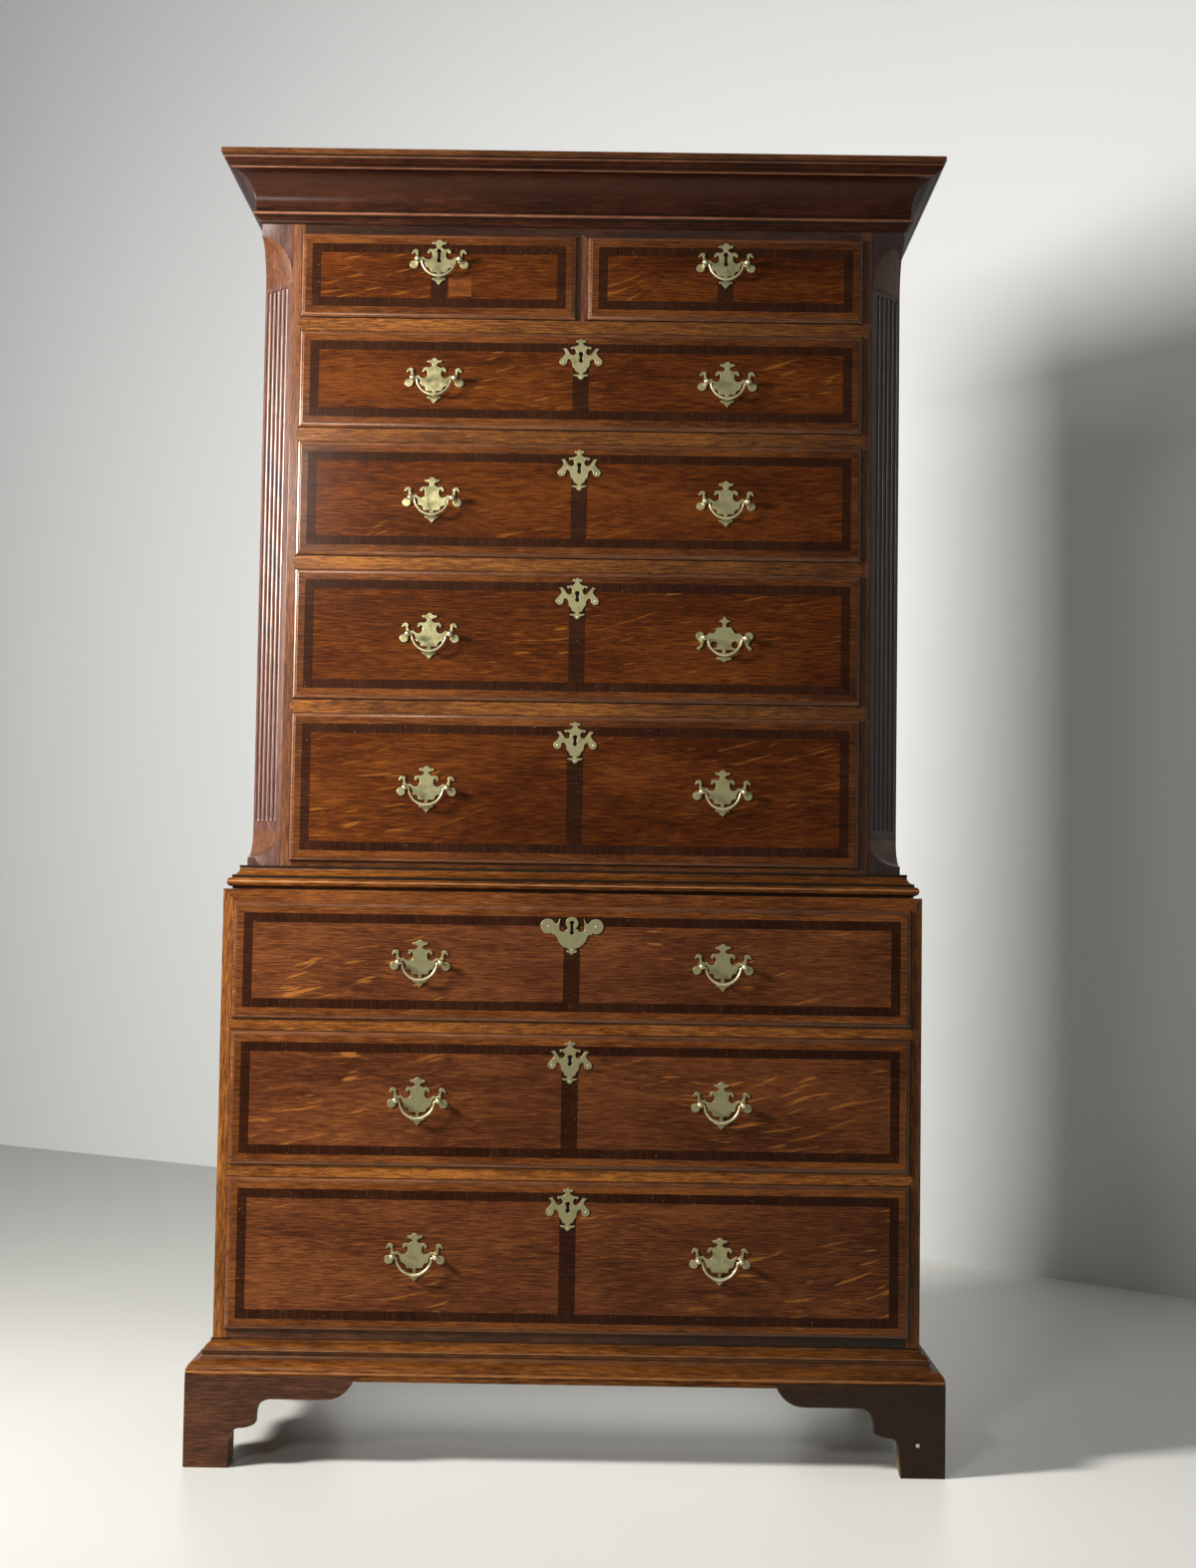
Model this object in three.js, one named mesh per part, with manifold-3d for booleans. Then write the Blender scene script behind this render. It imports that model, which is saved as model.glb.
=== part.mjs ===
// Chest on chest in oak: two carcases, nine drawers, canted fluted corners, bracket feet, brass handles.
// Millimetres, X to the right, Y to the back, Z up, origin on the floor under the middle.
import * as THREE from 'three';
import { mergeVertices } from 'three/addons/utils/BufferGeometryUtils.js';
import Module from 'manifold-3d';

const wasm = await Module();
wasm.setup();

// Clearances
const gap = 0.3;
const overrun = 6;
const drawerSideClearance = 1.2;
const drawerTopClearance = 3;
const drawerBackClearance = 16;

// Lower carcase
const lowerWidth = 1016;
const lowerDepth = 540;
const lowerSide = 20;
const backBoard = 10;

// Upper carcase: how far each side stands in from the lower one
const upperStepIn = 29;
const upperSide = 18;
const upperSetBack = 28.5;
const topBoard = 18;
const topBoardDrop = 21;

// Boards and frames inside
const stileDepth = 22;
const upperStile = 18;
const runnerWidth = 40;
const guideRise = 20;
const centreGuideRise = 8;
const muntinShow = 17.6;
const bottomBoard = 22;

// What shows of the rails between the drawer fronts
const lowerRailShow = 18.3;
const lowerTopShow = 19;
const lowerBottomShow = 13.5;
const upperRailShow = 21.2;
const upperBottomShow = 8;
const upperTopShow = 14;

// Drawer fronts from the bottom drawer up
const lowerFrontHeights = [217, 192, 168];
const upperFrontHeights = [218, 192, 170, 145, 125.5];
const frontBoard = 18;
const drawerBoard = 10;
const drawerBottom = 9;

// Moulded lip round each drawer front
const lip = { overlap: 4, edge: 1.5, ovoloWidth: 5.2, ovoloRise: 3.1, step: 0.8 };

// Canted corner columns
const cant = 47;
const columnInner = 24;
const stopTopDrop = 19.5;
const stopTopHeight = 68;
const stopBottomLift = 11.7;
const stopBottomHeight = 40.3;
const fluteCount = 5;
const flute = { pitch: 10.5, width: 7.5, depth: 3, margin: 10.4, topDrop: 4.5, bottomLift: 13 };

// Base frame and bracket feet
const footRise = 123;
const strip = { height: 7, depth: 22, inset: 1 };
const baseFrameWidth = 52;
const bracket = {
  length: 240, floor: 66, board: 24, ankle: 34, instep: 57, instepReach: 86, cuspReach: 108, cuspRise: 64,
  coveReach: 130, coveRise: 97.5, flatEnd: 200, curlReach: 226, taper: 1.5, block: 38,
};
const backBracket = { length: 150, board: 20, low: 70 };

// Mouldings: how far each one stands out in all and how high it is
const baseSize = { out: 33, rise: 45.5 };
const waistSize = { out: 25.5, rise: 34.3 };
const corniceSize = { out: 54.5, rise: 97.8 };

// Members from the bottom up: form, then the move outwards and the rise as shares of the moulding's size.
const baseMemberShares = [
  ['fillet', 1, 0.053], ['riseFirst', -0.364, 0.321], ['outFirst', -0.258, 0.211], ['fillet', 0.045, 0.068],
  ['fillet', -0.091, 0.013], ['riseFirst', -0.242, 0.191], ['fillet', -0.015, 0.143],
];
const waistMemberShares = [
  ['fillet', 0.706, 0.09], ['fillet', 0.098, 0.018], ['bead', 0.196, 0.356], ['fillet', -0.059, 0.125],
  ['outFirst', -0.392, 0.303], ['fillet', 0.02, 0.108],
];
const corniceMemberShares = [
  ['fillet', 0.064, 0.014], ['riseFirst', 0.083, 0.083], ['fillet', 0.018, 0.013], ['bead', 0.062, 0.07],
  ['fillet', -0.018, 0.024], ['fillet', 0.018, 0.068], ['riseFirst', 0.55, 0.46], ['fillet', 0.037, 0.023],
  ['riseFirst', 0.055, 0.037], ['outFirst', 0.119, 0.106], ['fillet', 0.018, 0.024], ['fillet', 0.056, 0.078],
];
const mouldingSteps = 5;

// Brass handles
const handleReach = 217.5;
const lowerHandleReach = 219.5;
const shortHandleLift = 22;
const plate = { half: 44, thick: 1.6 };
const post = {
  reach: 31, stem: 2.6, head: 4.5, length: 18.2, neck: 8.2, pivot: 13, hole: 1.75, holeDepth: 3.2,
};
const bail = { radius: 25.2, pin: 1.15, arm: 1.5, middle: 2.4, pinEnd: 0.5, elbow: 2 };
const bailSides = 6;
const bailSteps = 7;
const postSides = 6;
const keyholeSteps = 4;
const fluteSides = 8;
const piercingSides = 8;

// Escutcheons and keyholes
const escutcheon = { half: 31.6, roundHalf: 45.8, thick: 1.4, drop: 39 };
const keyhole = { head: 3.4, foot: 3.1, waist: 2.1, recess: 3.2 };
const keyholeHeight = { batwing: 16, plate: 20.5, round: 20.5 };
const keyholeLift = { batwing: 3, plate: 8, round: 8 };

// Back planks
const plankCount = 5;
const plankGroove = 3;

const colours = {
  oak: 0x6e3b1c, darkOak: 0x43241a, mahogany: 0x3a1a12, lining: 0x8a6a45, brass: 0xa89a5f,
};

// Right half of the batwing backplate as arcs: centre x, centre z, radius, first and last degree, steps.
// All are shares of the plate's half width, with the posts' line at height 0. A radius of 0 is a corner.
const plateArcShares = [
  [0, 0.647, 0.096, 90, 30, 1],
  [0.202, 0.62, 0.043, 130, -100, 2],
  [0.08, 0.477, 0, 0, 0, 0],
  [0.3, 0.323, 0.1, 125, -40, 2],
  [0.29, 0.31, 0, 0, 0, 0],
  [0.364, 0.186, 0.136, 165, 285, 2],
  [0.62, 0.14, 0, 0, 0, 0],
  [0.8, 0.3, 0.105, 160, -5, 2],
  [0.823, 0.265, 0, 0, 0, 0],
  [0.85, -0.123, 0.143, 115, -190, 4],
  [0.64, -0.02, 0, 0, 0, 0],
  [0.53, 0.03, 0, 0, 0, 0],
  [0.42, -0.364, 0.145, 90, 180, 2],
  [0.06, -0.393, 0, 0, 0, 0],
  [0.06, -0.59, 0, 0, 0, 0],
  [0.216, -0.62, 0, 0, 0, 0],
  [0, -0.82, 0, 0, 0, 0],
];

// The replaced plate on the right of the fourth row: pointed finial, scrolled ears and two round piercings.
const oddPlateArcShares = [
  [0, 0.757, 0, 0, 0, 0],
  [0.073, 0.66, 0, 0, 0, 0],
  [0.19, 0.585, 0, 0, 0, 0],
  [0.08, 0.55, 0, 0, 0, 0],
  [0.05, 0.4, 0, 0, 0, 0],
  [0.21, 0.4, 0, 0, 0, 0],
  [0.3, 0.22, 0, 0, 0, 0],
  [0.4, 0.16, 0, 0, 0, 0],
  [0.63, 0.09, 0, 0, 0, 0],
  [0.82, 0.095, 0.14, 150, -30, 3],
  [0.81, -0.18, 0, 0, 0, 0],
  [0.85, -0.325, 0.065, 70, -150, 2],
  [0.71, -0.24, 0, 0, 0, 0],
  [0.62, -0.08, 0, 0, 0, 0],
  [0.36, -0.19, 0.2, 30, -75, 2],
  [0.055, -0.37, 0, 0, 0, 0],
  [0.055, -0.6, 0, 0, 0, 0],
  [0.2, -0.667, 0.045, 100, -100, 1],
  [0.085, -0.72, 0, 0, 0, 0],
  [0, -0.78, 0, 0, 0, 0],
];
const piercingShares = [0.352, -0.198, 0.118];

// Right half of the escutcheon, as shares of its half width.
const batwingArcShares = [
  [0, 0.88, 0.085, 90, 10, 1],
  [0.171, 0.854, 0.06, 100, -110, 1],
  [0.089, 0.737, 0, 0, 0, 0],
  [0.244, 0.614, 0, 0, 0, 0],
  [0.42, 0.53, 0.065, 110, -110, 2],
  [0.386, 0.342, 0.15, 150, 330, 2],
  [0.665, 0.4, 0, 0, 0, 0],
  [0.855, 0.485, 0, 0, 0, 0],
  [0.75, 0.28, 0, 0, 0, 0],
  [0.82, -0.12, 0.185, 60, -200, 3],
  [0.49, -0.02, 0, 0, 0, 0],
  [0.385, -0.345, 0, 0, 0, 0],
  [0.24, -0.58, 0, 0, 0, 0],
  [0.08, -0.68, 0, 0, 0, 0],
  [0.33, -0.765, 0, 0, 0, 0],
  [0.125, -0.86, 0, 0, 0, 0],
  [0, -0.97, 0, 0, 0, 0],
];

// Right half of the round-lobed escutcheon on the top drawer of the lower carcase, in the same way.
const roundArcShares = [
  [0, 0.32, 0.2, 90, -55, 3],
  [0.29, 0.16, 0.115, 200, 340, 2],
  [0.371, 0.502, 0, 0, 0, 0],
  [0.48, 0.295, 0, 0, 0, 0],
  [0.76, 0.22, 0.238, 140, -110, 4],
  [0, -0.02, 0.46, -25, -72, 2],
  [0.13, -0.58, 0, 0, 0, 0],
  [0, -0.69, 0, 0, 0, 0],
];

// Heights and places worked out from the sizes above
const baseOut = baseSize.out;
const frontLower = (baseOut - lowerDepth) / 2;
const back = frontLower + lowerDepth;
const frontUpper = frontLower + upperSetBack;
const lowerHalf = lowerWidth / 2;
const upperHalf = lowerHalf - upperStepIn;
const baseBottom = footRise + strip.height;
const lowerBottom = baseBottom + baseSize.rise;

function stackFronts(bottom, heights, show) {
  // Lowest and highest edge of each drawer front, from the bottom drawer up.
  const rows = [];
  let z = bottom;
  for (const height of heights) {
    rows.push([z, z + height]);
    z += height + show;
  }
  return rows;
}

const lowerRows = stackFronts(lowerBottom + lowerBottomShow, lowerFrontHeights, lowerRailShow);
const lowerTop = lowerRows.at(-1)[1] + lowerTopShow;
const waistTop = lowerTop + waistSize.rise;
const upperRows = stackFronts(waistTop + upperBottomShow, upperFrontHeights, upperRailShow);
const corniceBottom = upperRows.at(-1)[1] + upperTopShow;
const corniceTop = corniceBottom + corniceSize.rise;
const caseTop = corniceTop - topBoardDrop;
const columnHalf = upperHalf - cant;
const lowerOpening = lowerHalf - lowerSide;
const upperOpening = columnHalf - upperStile;
const lowerFrontHalf = lowerOpening + lip.overlap;
const upperFrontHalf = upperOpening + lip.overlap;
const muntinHalf = muntinShow / 2 + lip.overlap;
const railDepth = cant + gap;
const runnerEnd = back - backBoard - gap;
const frontFace = lip.edge + lip.ovoloRise + lip.step + gap;

function geometryFrom(points, faces) {
  // A mesh from a list of points and a list of triangles.
  const geometry = new THREE.BufferGeometry();
  geometry.setAttribute('position', new THREE.Float32BufferAttribute(points.flat(), 3));
  geometry.setIndex(faces.flat());
  return geometry;
}

function solidOf(geometry) {
  // A closed solid from a three.js geometry, without its zero-area triangles.
  const bare = geometry.clone();
  for (const name of Object.keys(bare.attributes)) {
    if (name !== 'position') bare.deleteAttribute(name);
  }
  const merged = mergeVertices(bare, 1e-4);
  const index = Array.from(merged.index.array);
  const kept = [];
  for (let i = 0; i < index.length; i += 3) {
    const [a, b, c] = index.slice(i, i + 3);
    if (a !== b && b !== c && c !== a) kept.push(a, b, c);
  }
  const vertProperties = new Float32Array(merged.attributes.position.array);
  return new wasm.Manifold(new wasm.Mesh({ numProp: 3, vertProperties, triVerts: new Uint32Array(kept) }));
}

function geometryOf(solid) {
  // The triangles of a solid as a three.js geometry with flat faces.
  const mesh = solid.getMesh();
  const geometry = new THREE.BufferGeometry();
  const places = new Float32Array(mesh.vertProperties);
  geometry.setAttribute('position', new THREE.BufferAttribute(places, mesh.numProp));
  geometry.setIndex(new THREE.BufferAttribute(new Uint32Array(mesh.triVerts), 1));
  return geometry;
}

function block(x0, x1, y0, y1, z0, z1) {
  // A rectangular solid between two corners.
  const geometry = new THREE.BoxGeometry(x1 - x0, y1 - y0, z1 - z0);
  geometry.translate((x0 + x1) / 2, (y0 + y1) / 2, (z0 + z1) / 2);
  return solidOf(geometry);
}

function board(outline, z0, z1) {
  // A flat board with any outline seen from above; a point that repeats the one before is dropped.
  const points = outline.map(([x, y]) => new THREE.Vector2(x, y));
  const shape = new THREE.Shape(points.filter((point, i) => i === 0 || !point.equals(points[i - 1])));
  const geometry = new THREE.ExtrudeGeometry(shape, { depth: z1 - z0, bevelEnabled: false });
  geometry.translate(0, 0, z0);
  return solidOf(geometry);
}

function mirrored(solid) {
  // The same solid on the other side of the middle.
  const geometry = geometryOf(solid);
  geometry.scale(-1, 1, 1);
  const index = geometry.index.array;
  for (let i = 0; i < index.length; i += 3) [index[i], index[i + 1]] = [index[i + 1], index[i]];
  return solidOf(geometry);
}

function join(solids) {
  // One solid from pieces that are glued together.
  return solids.reduce((whole, piece) => whole.add(piece));
}

function loft(rings) {
  // A closed skin over rings of like count, each anticlockwise seen from the last ring's side.
  const count = rings[0].length;
  const faces = [];
  for (let i = 0; i + 1 < rings.length; i += 1) {
    for (let j = 0; j < count; j += 1) {
      const a = i * count + j;
      const b = i * count + ((j + 1) % count);
      faces.push([a, b, b + count], [a, b + count, a + count]);
    }
  }
  const last = (rings.length - 1) * count;
  for (let j = 1; j + 1 < count; j += 1) {
    faces.push([0, j + 1, j], [last, last + j, last + j + 1]);
  }
  return solidOf(geometryFrom(rings.flat(), faces));
}

function memberProfile(memberShares, size, bottom) {
  // The profile of a moulding: how far out it stands at each height.
  const whole = memberShares.reduce((sum, [, , share]) => sum + share, 0);
  const profile = [];
  let out = 0;
  let z = bottom;
  for (const [form, outShare, riseShare] of memberShares) {
    const move = size.out * outShare;
    const rise = (size.rise * riseShare) / whole;
    if (form === 'fillet') {
      out += move;
      profile.push([out, z], [out, z + rise]);
    }
    for (let i = 1; form !== 'fillet' && i <= mouldingSteps; i += 1) {
      const angle = (i / mouldingSteps) * (Math.PI / 2);
      const rest = 1 - Math.cos(angle);
      if (form === 'riseFirst') profile.push([out + move * rest, z + rise * Math.sin(angle)]);
      if (form === 'outFirst') profile.push([out + move * Math.sin(angle), z + rise * rest]);
      if (form === 'bead') profile.push([out + move * Math.sin(2 * angle), z + rise * Math.sin(angle) ** 2]);
    }
    if (form !== 'fillet' && form !== 'bead') out += move;
    z += rise;
  }
  return profile;
}

function mouldedBlock(memberShares, size, bottom, half, front) {
  // A block with the moulding mitred round its front and sides and a flat back.
  const rings = memberProfile(memberShares, size, bottom).map(([out, z]) => [
    [-half - out, front - out, z], [half + out, front - out, z],
    [half + out, back, z], [-half - out, back, z],
  ]);
  return loft(rings);
}

function plankWall(half, bottom, top) {
  // Upright back planks with a groove at each joint.
  const outline = [[-half, back - backBoard], [half, back - backBoard], [half, back]];
  for (let i = plankCount - 1; i > 0; i -= 1) {
    const x = -half + (2 * half * i) / plankCount;
    outline.push([x + plankGroove / 2, back], [x, back - plankGroove], [x - plankGroove / 2, back]);
  }
  outline.push([-half, back]);
  return board(outline, bottom, top);
}

function lowerBase() {
  // The bottom board, the base moulding under it and the narrow strips between the feet.
  const inner = lowerHalf - baseFrameWidth;
  const ring = mouldedBlock(baseMemberShares, baseSize, baseBottom, lowerHalf, frontLower).subtract(block(
    -inner, inner, frontLower + baseFrameWidth, back - baseFrameWidth, baseBottom - overrun, lowerBottom + overrun,
  ));
  const floor = lowerRows[0][0] + lip.overlap;
  const seat = lowerOpening - gap;
  const bottom = block(-seat, seat, frontLower, runnerEnd, lowerBottom - strip.inset, floor);
  const stripHalf = lowerHalf + baseOut - bracket.length - gap;
  const stripFront = frontLower - baseOut;
  const stripTop = baseBottom + strip.inset;
  const front = block(-stripHalf, stripHalf, stripFront, stripFront + strip.depth, footRise, stripTop);
  const sideStart = frontLower - baseOut + bracket.length + gap;
  const sideEnd = back - bracket.length - gap;
  const edge = lowerHalf + baseOut;
  const left = block(-edge, strip.depth - edge, sideStart, sideEnd, footRise, stripTop);
  return join([ring, bottom, front, left, mirrored(left)]);
}

function lowerLid() {
  // The top board of the lower carcase with the waist moulding that holds the upper one in place.
  const hole = upperHalf + gap;
  const moulding = mouldedBlock(waistMemberShares, waistSize, lowerTop, upperHalf, frontUpper).subtract(block(
    -hole, hole, frontUpper - gap, back + overrun, lowerTop - overrun, waistTop + overrun,
  ));
  const seat = lowerOpening - gap;
  const low = lowerRows.at(-1)[1] - lip.overlap;
  const step = strip.inset;
  const top = block(-seat, seat, frontLower, runnerEnd, low, lowerTop);
  const tie = block(-seat, seat, frontLower + stileDepth, frontUpper - gap, lowerTop - step, lowerTop + step);
  return join([top, moulding, tie]);
}

function cornice() {
  // The cornice moulding, open in the middle where it goes round the upper carcase.
  const neck = upperHalf + gap;
  const whole = mouldedBlock(corniceMemberShares, corniceSize, corniceBottom, upperHalf, frontUpper);
  return whole.subtract(block(
    -neck, neck, frontUpper - gap, back + overrun, corniceBottom - overrun, corniceTop + overrun,
  ));
}

function railAndRunners(opening, front, outer, low, high) {
  // A rail between two drawers with a runner behind each end of it.
  const inner = opening - runnerWidth;
  const runnerStart = front + railDepth;
  const right = [
    [opening, front], [opening, runnerStart], [outer, runnerStart], [outer, runnerEnd], [inner, runnerEnd],
    [inner, runnerStart],
  ];
  const left = right.map(([x, y]) => [-x, y]).reverse();
  return board(right.concat(left), low, high);
}

function lowerFaceFrame() {
  // Stile strips and rails at the front with the runners behind them.
  const opening = lowerOpening;
  const stile = block(
    opening, lowerHalf, frontLower, frontLower + stileDepth, lowerBottom + gap, lowerTop - gap,
  );
  const pieces = [stile, mirrored(stile)];
  for (let i = 0; i + 1 < lowerRows.length; i += 1) {
    const low = lowerRows[i][1] - lip.overlap;
    const high = lowerRows[i + 1][0] + lip.overlap;
    const side = opening - gap;
    pieces.push(block(-opening - gap, opening + gap, frontLower, frontLower + stileDepth, low, high));
    pieces.push(railAndRunners(side, frontLower, side, low, high));
  }
  return join(pieces);
}

function upperFaceFrame() {
  // Stile strips, rails, the short drawers' muntin, and the runners behind them.
  const bottom = lowerTop + gap;
  const stile = block(upperOpening, columnHalf - gap, frontUpper, frontUpper + stileDepth, bottom, caseTop);
  const header = upperRows.at(-1)[1] - lip.overlap;
  const pieces = [stile, mirrored(stile)];
  pieces.push(block(
    -upperOpening - gap, upperOpening + gap, frontUpper, frontUpper + stileDepth, header, caseTop,
  ));
  const outer = upperHalf - upperSide - gap;
  for (let i = 0; i + 1 < upperRows.length; i += 1) {
    const low = upperRows[i][1] - lip.overlap;
    const high = upperRows[i + 1][0] + lip.overlap;
    pieces.push(railAndRunners(upperOpening + gap, frontUpper, outer, low, high));
  }
  const sill = upperRows.at(-1)[0] + lip.overlap;
  const ledge = upperRows.at(-2)[1] - lip.overlap;
  pieces.push(block(-muntinHalf, muntinHalf, frontUpper, frontUpper + stileDepth, ledge, caseTop));
  pieces.push(block(-runnerWidth, runnerWidth, frontUpper + stileDepth, runnerEnd, ledge, sill));
  const crest = sill + centreGuideRise;
  pieces.push(block(-muntinHalf, muntinHalf, frontUpper + stileDepth, runnerEnd, ledge, crest));
  return join(pieces);
}

function upperLeftSide() {
  // The left side board of the upper carcase with the drawer guides nailed to its inner face.
  const inner = upperHalf - upperSide;
  const start = frontUpper + railDepth;
  const pieces = [block(-upperHalf, -inner, start, back, lowerTop + gap, caseTop)];
  for (const [bottom] of upperRows) {
    const seat = bottom + lip.overlap;
    pieces.push(block(-inner - gap, -upperOpening, start, runnerEnd, seat + gap, seat + guideRise));
  }
  return join(pieces);
}

function upperBoardOutline(front, half) {
  // A board that fits between the stile strips and the columns, half wide at its front edge.
  const inner = columnHalf - gap;
  const outer = upperHalf - upperSide - gap;
  const step = frontUpper + stileDepth + gap;
  const shoulder = frontUpper + railDepth;
  const right = [
    [half, front], [half, step], [inner, step], [inner, shoulder], [outer, shoulder], [outer, runnerEnd],
  ];
  return right.concat(right.map(([x, y]) => [-x, y]).reverse());
}

function stoppedChamfer() {
  // The cutter that cants a corner and scoops out its two stops, along the diagonal of the corner.
  const depth = cant / Math.SQRT2;
  const low = waistTop + stopBottomLift;
  const high = corniceBottom - stopTopDrop;
  const shape = new THREE.Shape();
  shape.moveTo(-overrun, low);
  shape.lineTo(0, low);
  for (let i = 1; i <= mouldingSteps + 2; i += 1) {
    const angle = (i / (mouldingSteps + 2)) * (Math.PI / 2);
    shape.lineTo(depth * Math.sin(angle), low + stopBottomHeight * (1 - Math.cos(angle)));
  }
  for (let i = 0; i <= mouldingSteps + 2; i += 1) {
    const angle = (i / (mouldingSteps + 2)) * (Math.PI / 2);
    shape.lineTo(depth * Math.cos(angle), high - stopTopHeight * (1 - Math.sin(angle)));
  }
  shape.lineTo(-overrun, high);
  const length = cant * 2 * Math.SQRT2;
  const geometry = new THREE.ExtrudeGeometry(shape, { depth: length, bevelEnabled: false });
  geometry.translate(0, 0, -length / 2);
  // Shape X goes into the corner, shape Y goes up, and the extrusion runs across the canted face.
  const into = new THREE.Vector3(-1, 1, 0).normalize();
  const up = new THREE.Vector3(0, 0, 1);
  const across = new THREE.Vector3().crossVectors(into, up);
  geometry.applyMatrix4(new THREE.Matrix4().makeBasis(into, up, across));
  geometry.translate(upperHalf, frontUpper, 0);
  return solidOf(geometry);
}

function fluteCutter(place) {
  // A round-ended groove in the canted face; place is its distance from the front arris.
  const radius = (flute.width ** 2 / 4 + flute.depth ** 2) / (2 * flute.depth);
  const low = waistTop + stopBottomLift + stopBottomHeight + flute.bottomLift + radius;
  const high = corniceBottom - stopTopDrop - stopTopHeight - flute.topDrop - radius;
  const profile = [new THREE.Vector2(0, low - radius)];
  const turn = Math.PI / 6;
  profile.push(new THREE.Vector2(radius * Math.sin(turn * 2), low - radius * Math.cos(turn * 2)));
  profile.push(new THREE.Vector2(radius, low), new THREE.Vector2(radius, high));
  profile.push(new THREE.Vector2(radius * Math.sin(turn * 2), high + radius * Math.cos(turn * 2)));
  profile.push(new THREE.Vector2(0, high + radius));
  const geometry = new THREE.LatheGeometry(profile, fluteSides);
  geometry.rotateX(Math.PI / 2);
  const lift = (radius - flute.depth) / Math.SQRT2;
  const along = place / Math.SQRT2;
  geometry.translate(columnHalf + along + lift, frontUpper + along - lift, 0);
  return solidOf(geometry);
}

function rightColumn() {
  // A corner post, canted between its stops and fluted on the canted face.
  const bottom = lowerTop + gap;
  const inner = upperHalf - columnInner;
  const outline = [
    [columnHalf, frontUpper], [upperHalf, frontUpper], [upperHalf, frontUpper + cant],
    [inner, frontUpper + cant], [columnHalf, frontUpper + columnInner],
  ];
  let column = board(outline, bottom, caseTop).subtract(stoppedChamfer());
  for (let i = 0; i < fluteCount; i += 1) {
    column = column.subtract(fluteCutter(flute.margin + flute.pitch * (i + 1 / 2)));
  }
  return column;
}

function bracketOutline() {
  // The shaped bracket seen square on, from the outer corner inwards.
  const height = baseBottom - gap;
  const shape = new THREE.Shape();
  shape.moveTo(bracket.taper, 0);
  shape.lineTo(bracket.floor - bracket.taper, 0);
  shape.lineTo(bracket.floor, bracket.ankle);
  shape.quadraticCurveTo(bracket.floor + bracket.taper, bracket.instep, bracket.instepReach, bracket.instep);
  const midReach = (bracket.instepReach + bracket.cuspReach) / 2;
  shape.quadraticCurveTo(midReach, bracket.instep, bracket.cuspReach, bracket.cuspRise);
  const coveStart = bracket.cuspReach - bracket.taper;
  shape.quadraticCurveTo(coveStart, bracket.coveRise, bracket.coveReach, bracket.coveRise);
  shape.lineTo(bracket.flatEnd, bracket.coveRise);
  shape.quadraticCurveTo(bracket.curlReach, bracket.coveRise, bracket.length, footRise);
  shape.lineTo(bracket.length, height);
  shape.lineTo(0, height);
  shape.lineTo(0, bracket.ankle);
  return shape;
}

function bracketBoard() {
  // One bracket lying along +X from the outer corner, its face at Y 0.
  const geometry = new THREE.ExtrudeGeometry(bracketOutline(), {
    depth: bracket.board, bevelEnabled: false, curveSegments: mouldingSteps,
  });
  geometry.rotateX(Math.PI / 2);
  geometry.translate(0, bracket.board, 0);
  return geometry;
}

function frontFoot() {
  // The left front foot: a front bracket, a side bracket and the corner block behind them.
  const edge = lowerHalf + baseOut;
  const face = frontLower - baseOut;
  const front = bracketBoard();
  front.translate(-edge, face, 0);
  const side = bracketBoard();
  side.translate(0, -bracket.board, 0);
  side.rotateZ(Math.PI / 2);
  side.translate(-edge, face, 0);
  const reach = bracket.board + bracket.block;
  const blockSolid = block(
    bracket.taper * 2 - edge, reach - edge, face + bracket.taper * 2, face + reach, 0, baseBottom - gap,
  );
  return join([solidOf(front), solidOf(side), blockSolid]);
}

function backFoot() {
  // The left back foot: a side bracket and a plain board across the back.
  const edge = lowerHalf + baseOut;
  const side = bracketBoard();
  side.rotateZ(-Math.PI / 2);
  side.translate(-edge, back, 0);
  const height = baseBottom - gap;
  const shape = new THREE.Shape();
  shape.moveTo(bracket.taper, 0);
  shape.lineTo(bracket.floor, 0);
  shape.lineTo(bracket.floor, backBracket.low / 2);
  shape.lineTo(backBracket.length, backBracket.low);
  shape.lineTo(backBracket.length, height);
  shape.lineTo(bracket.taper, height);
  const plain = new THREE.ExtrudeGeometry(shape, { depth: backBracket.board, bevelEnabled: false });
  plain.rotateX(Math.PI / 2);
  plain.translate(-edge, back - bracket.taper, 0);
  const reach = bracket.board + bracket.block;
  const blockSolid = block(
    bracket.taper * 2 - edge, reach - edge, back - reach, back - bracket.taper * 2, 0, height,
  );
  return join([solidOf(side), solidOf(plain), blockSolid]);
}

function halfOutline(arcShares, half) {
  // Points of the right half of a pierced brass plate, from its top to its bottom.
  const points = [];
  for (const [x, z, radius, first, last, steps] of arcShares) {
    for (let i = 0; i <= steps; i += 1) {
      const angle = THREE.MathUtils.degToRad(first + ((last - first) * i) / Math.max(steps, 1));
      points.push([half * (x + radius * Math.cos(angle)), half * (z + radius * Math.sin(angle))]);
    }
  }
  return points;
}

function plateSolid(arcShares, half, thickness) {
  // A cut brass plate standing in the XZ plane, its back at Y 0 and its face towards -Y.
  const right = halfOutline(arcShares, half);
  const left = right.filter(([x]) => x > 0).map(([x, z]) => [-x, z]).reverse();
  const shape = new THREE.Shape(right.concat(left).map(([x, z]) => new THREE.Vector2(x, z)));
  const geometry = new THREE.ExtrudeGeometry(shape, { depth: thickness, bevelEnabled: false });
  geometry.rotateX(Math.PI / 2);
  return solidOf(geometry);
}

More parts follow.
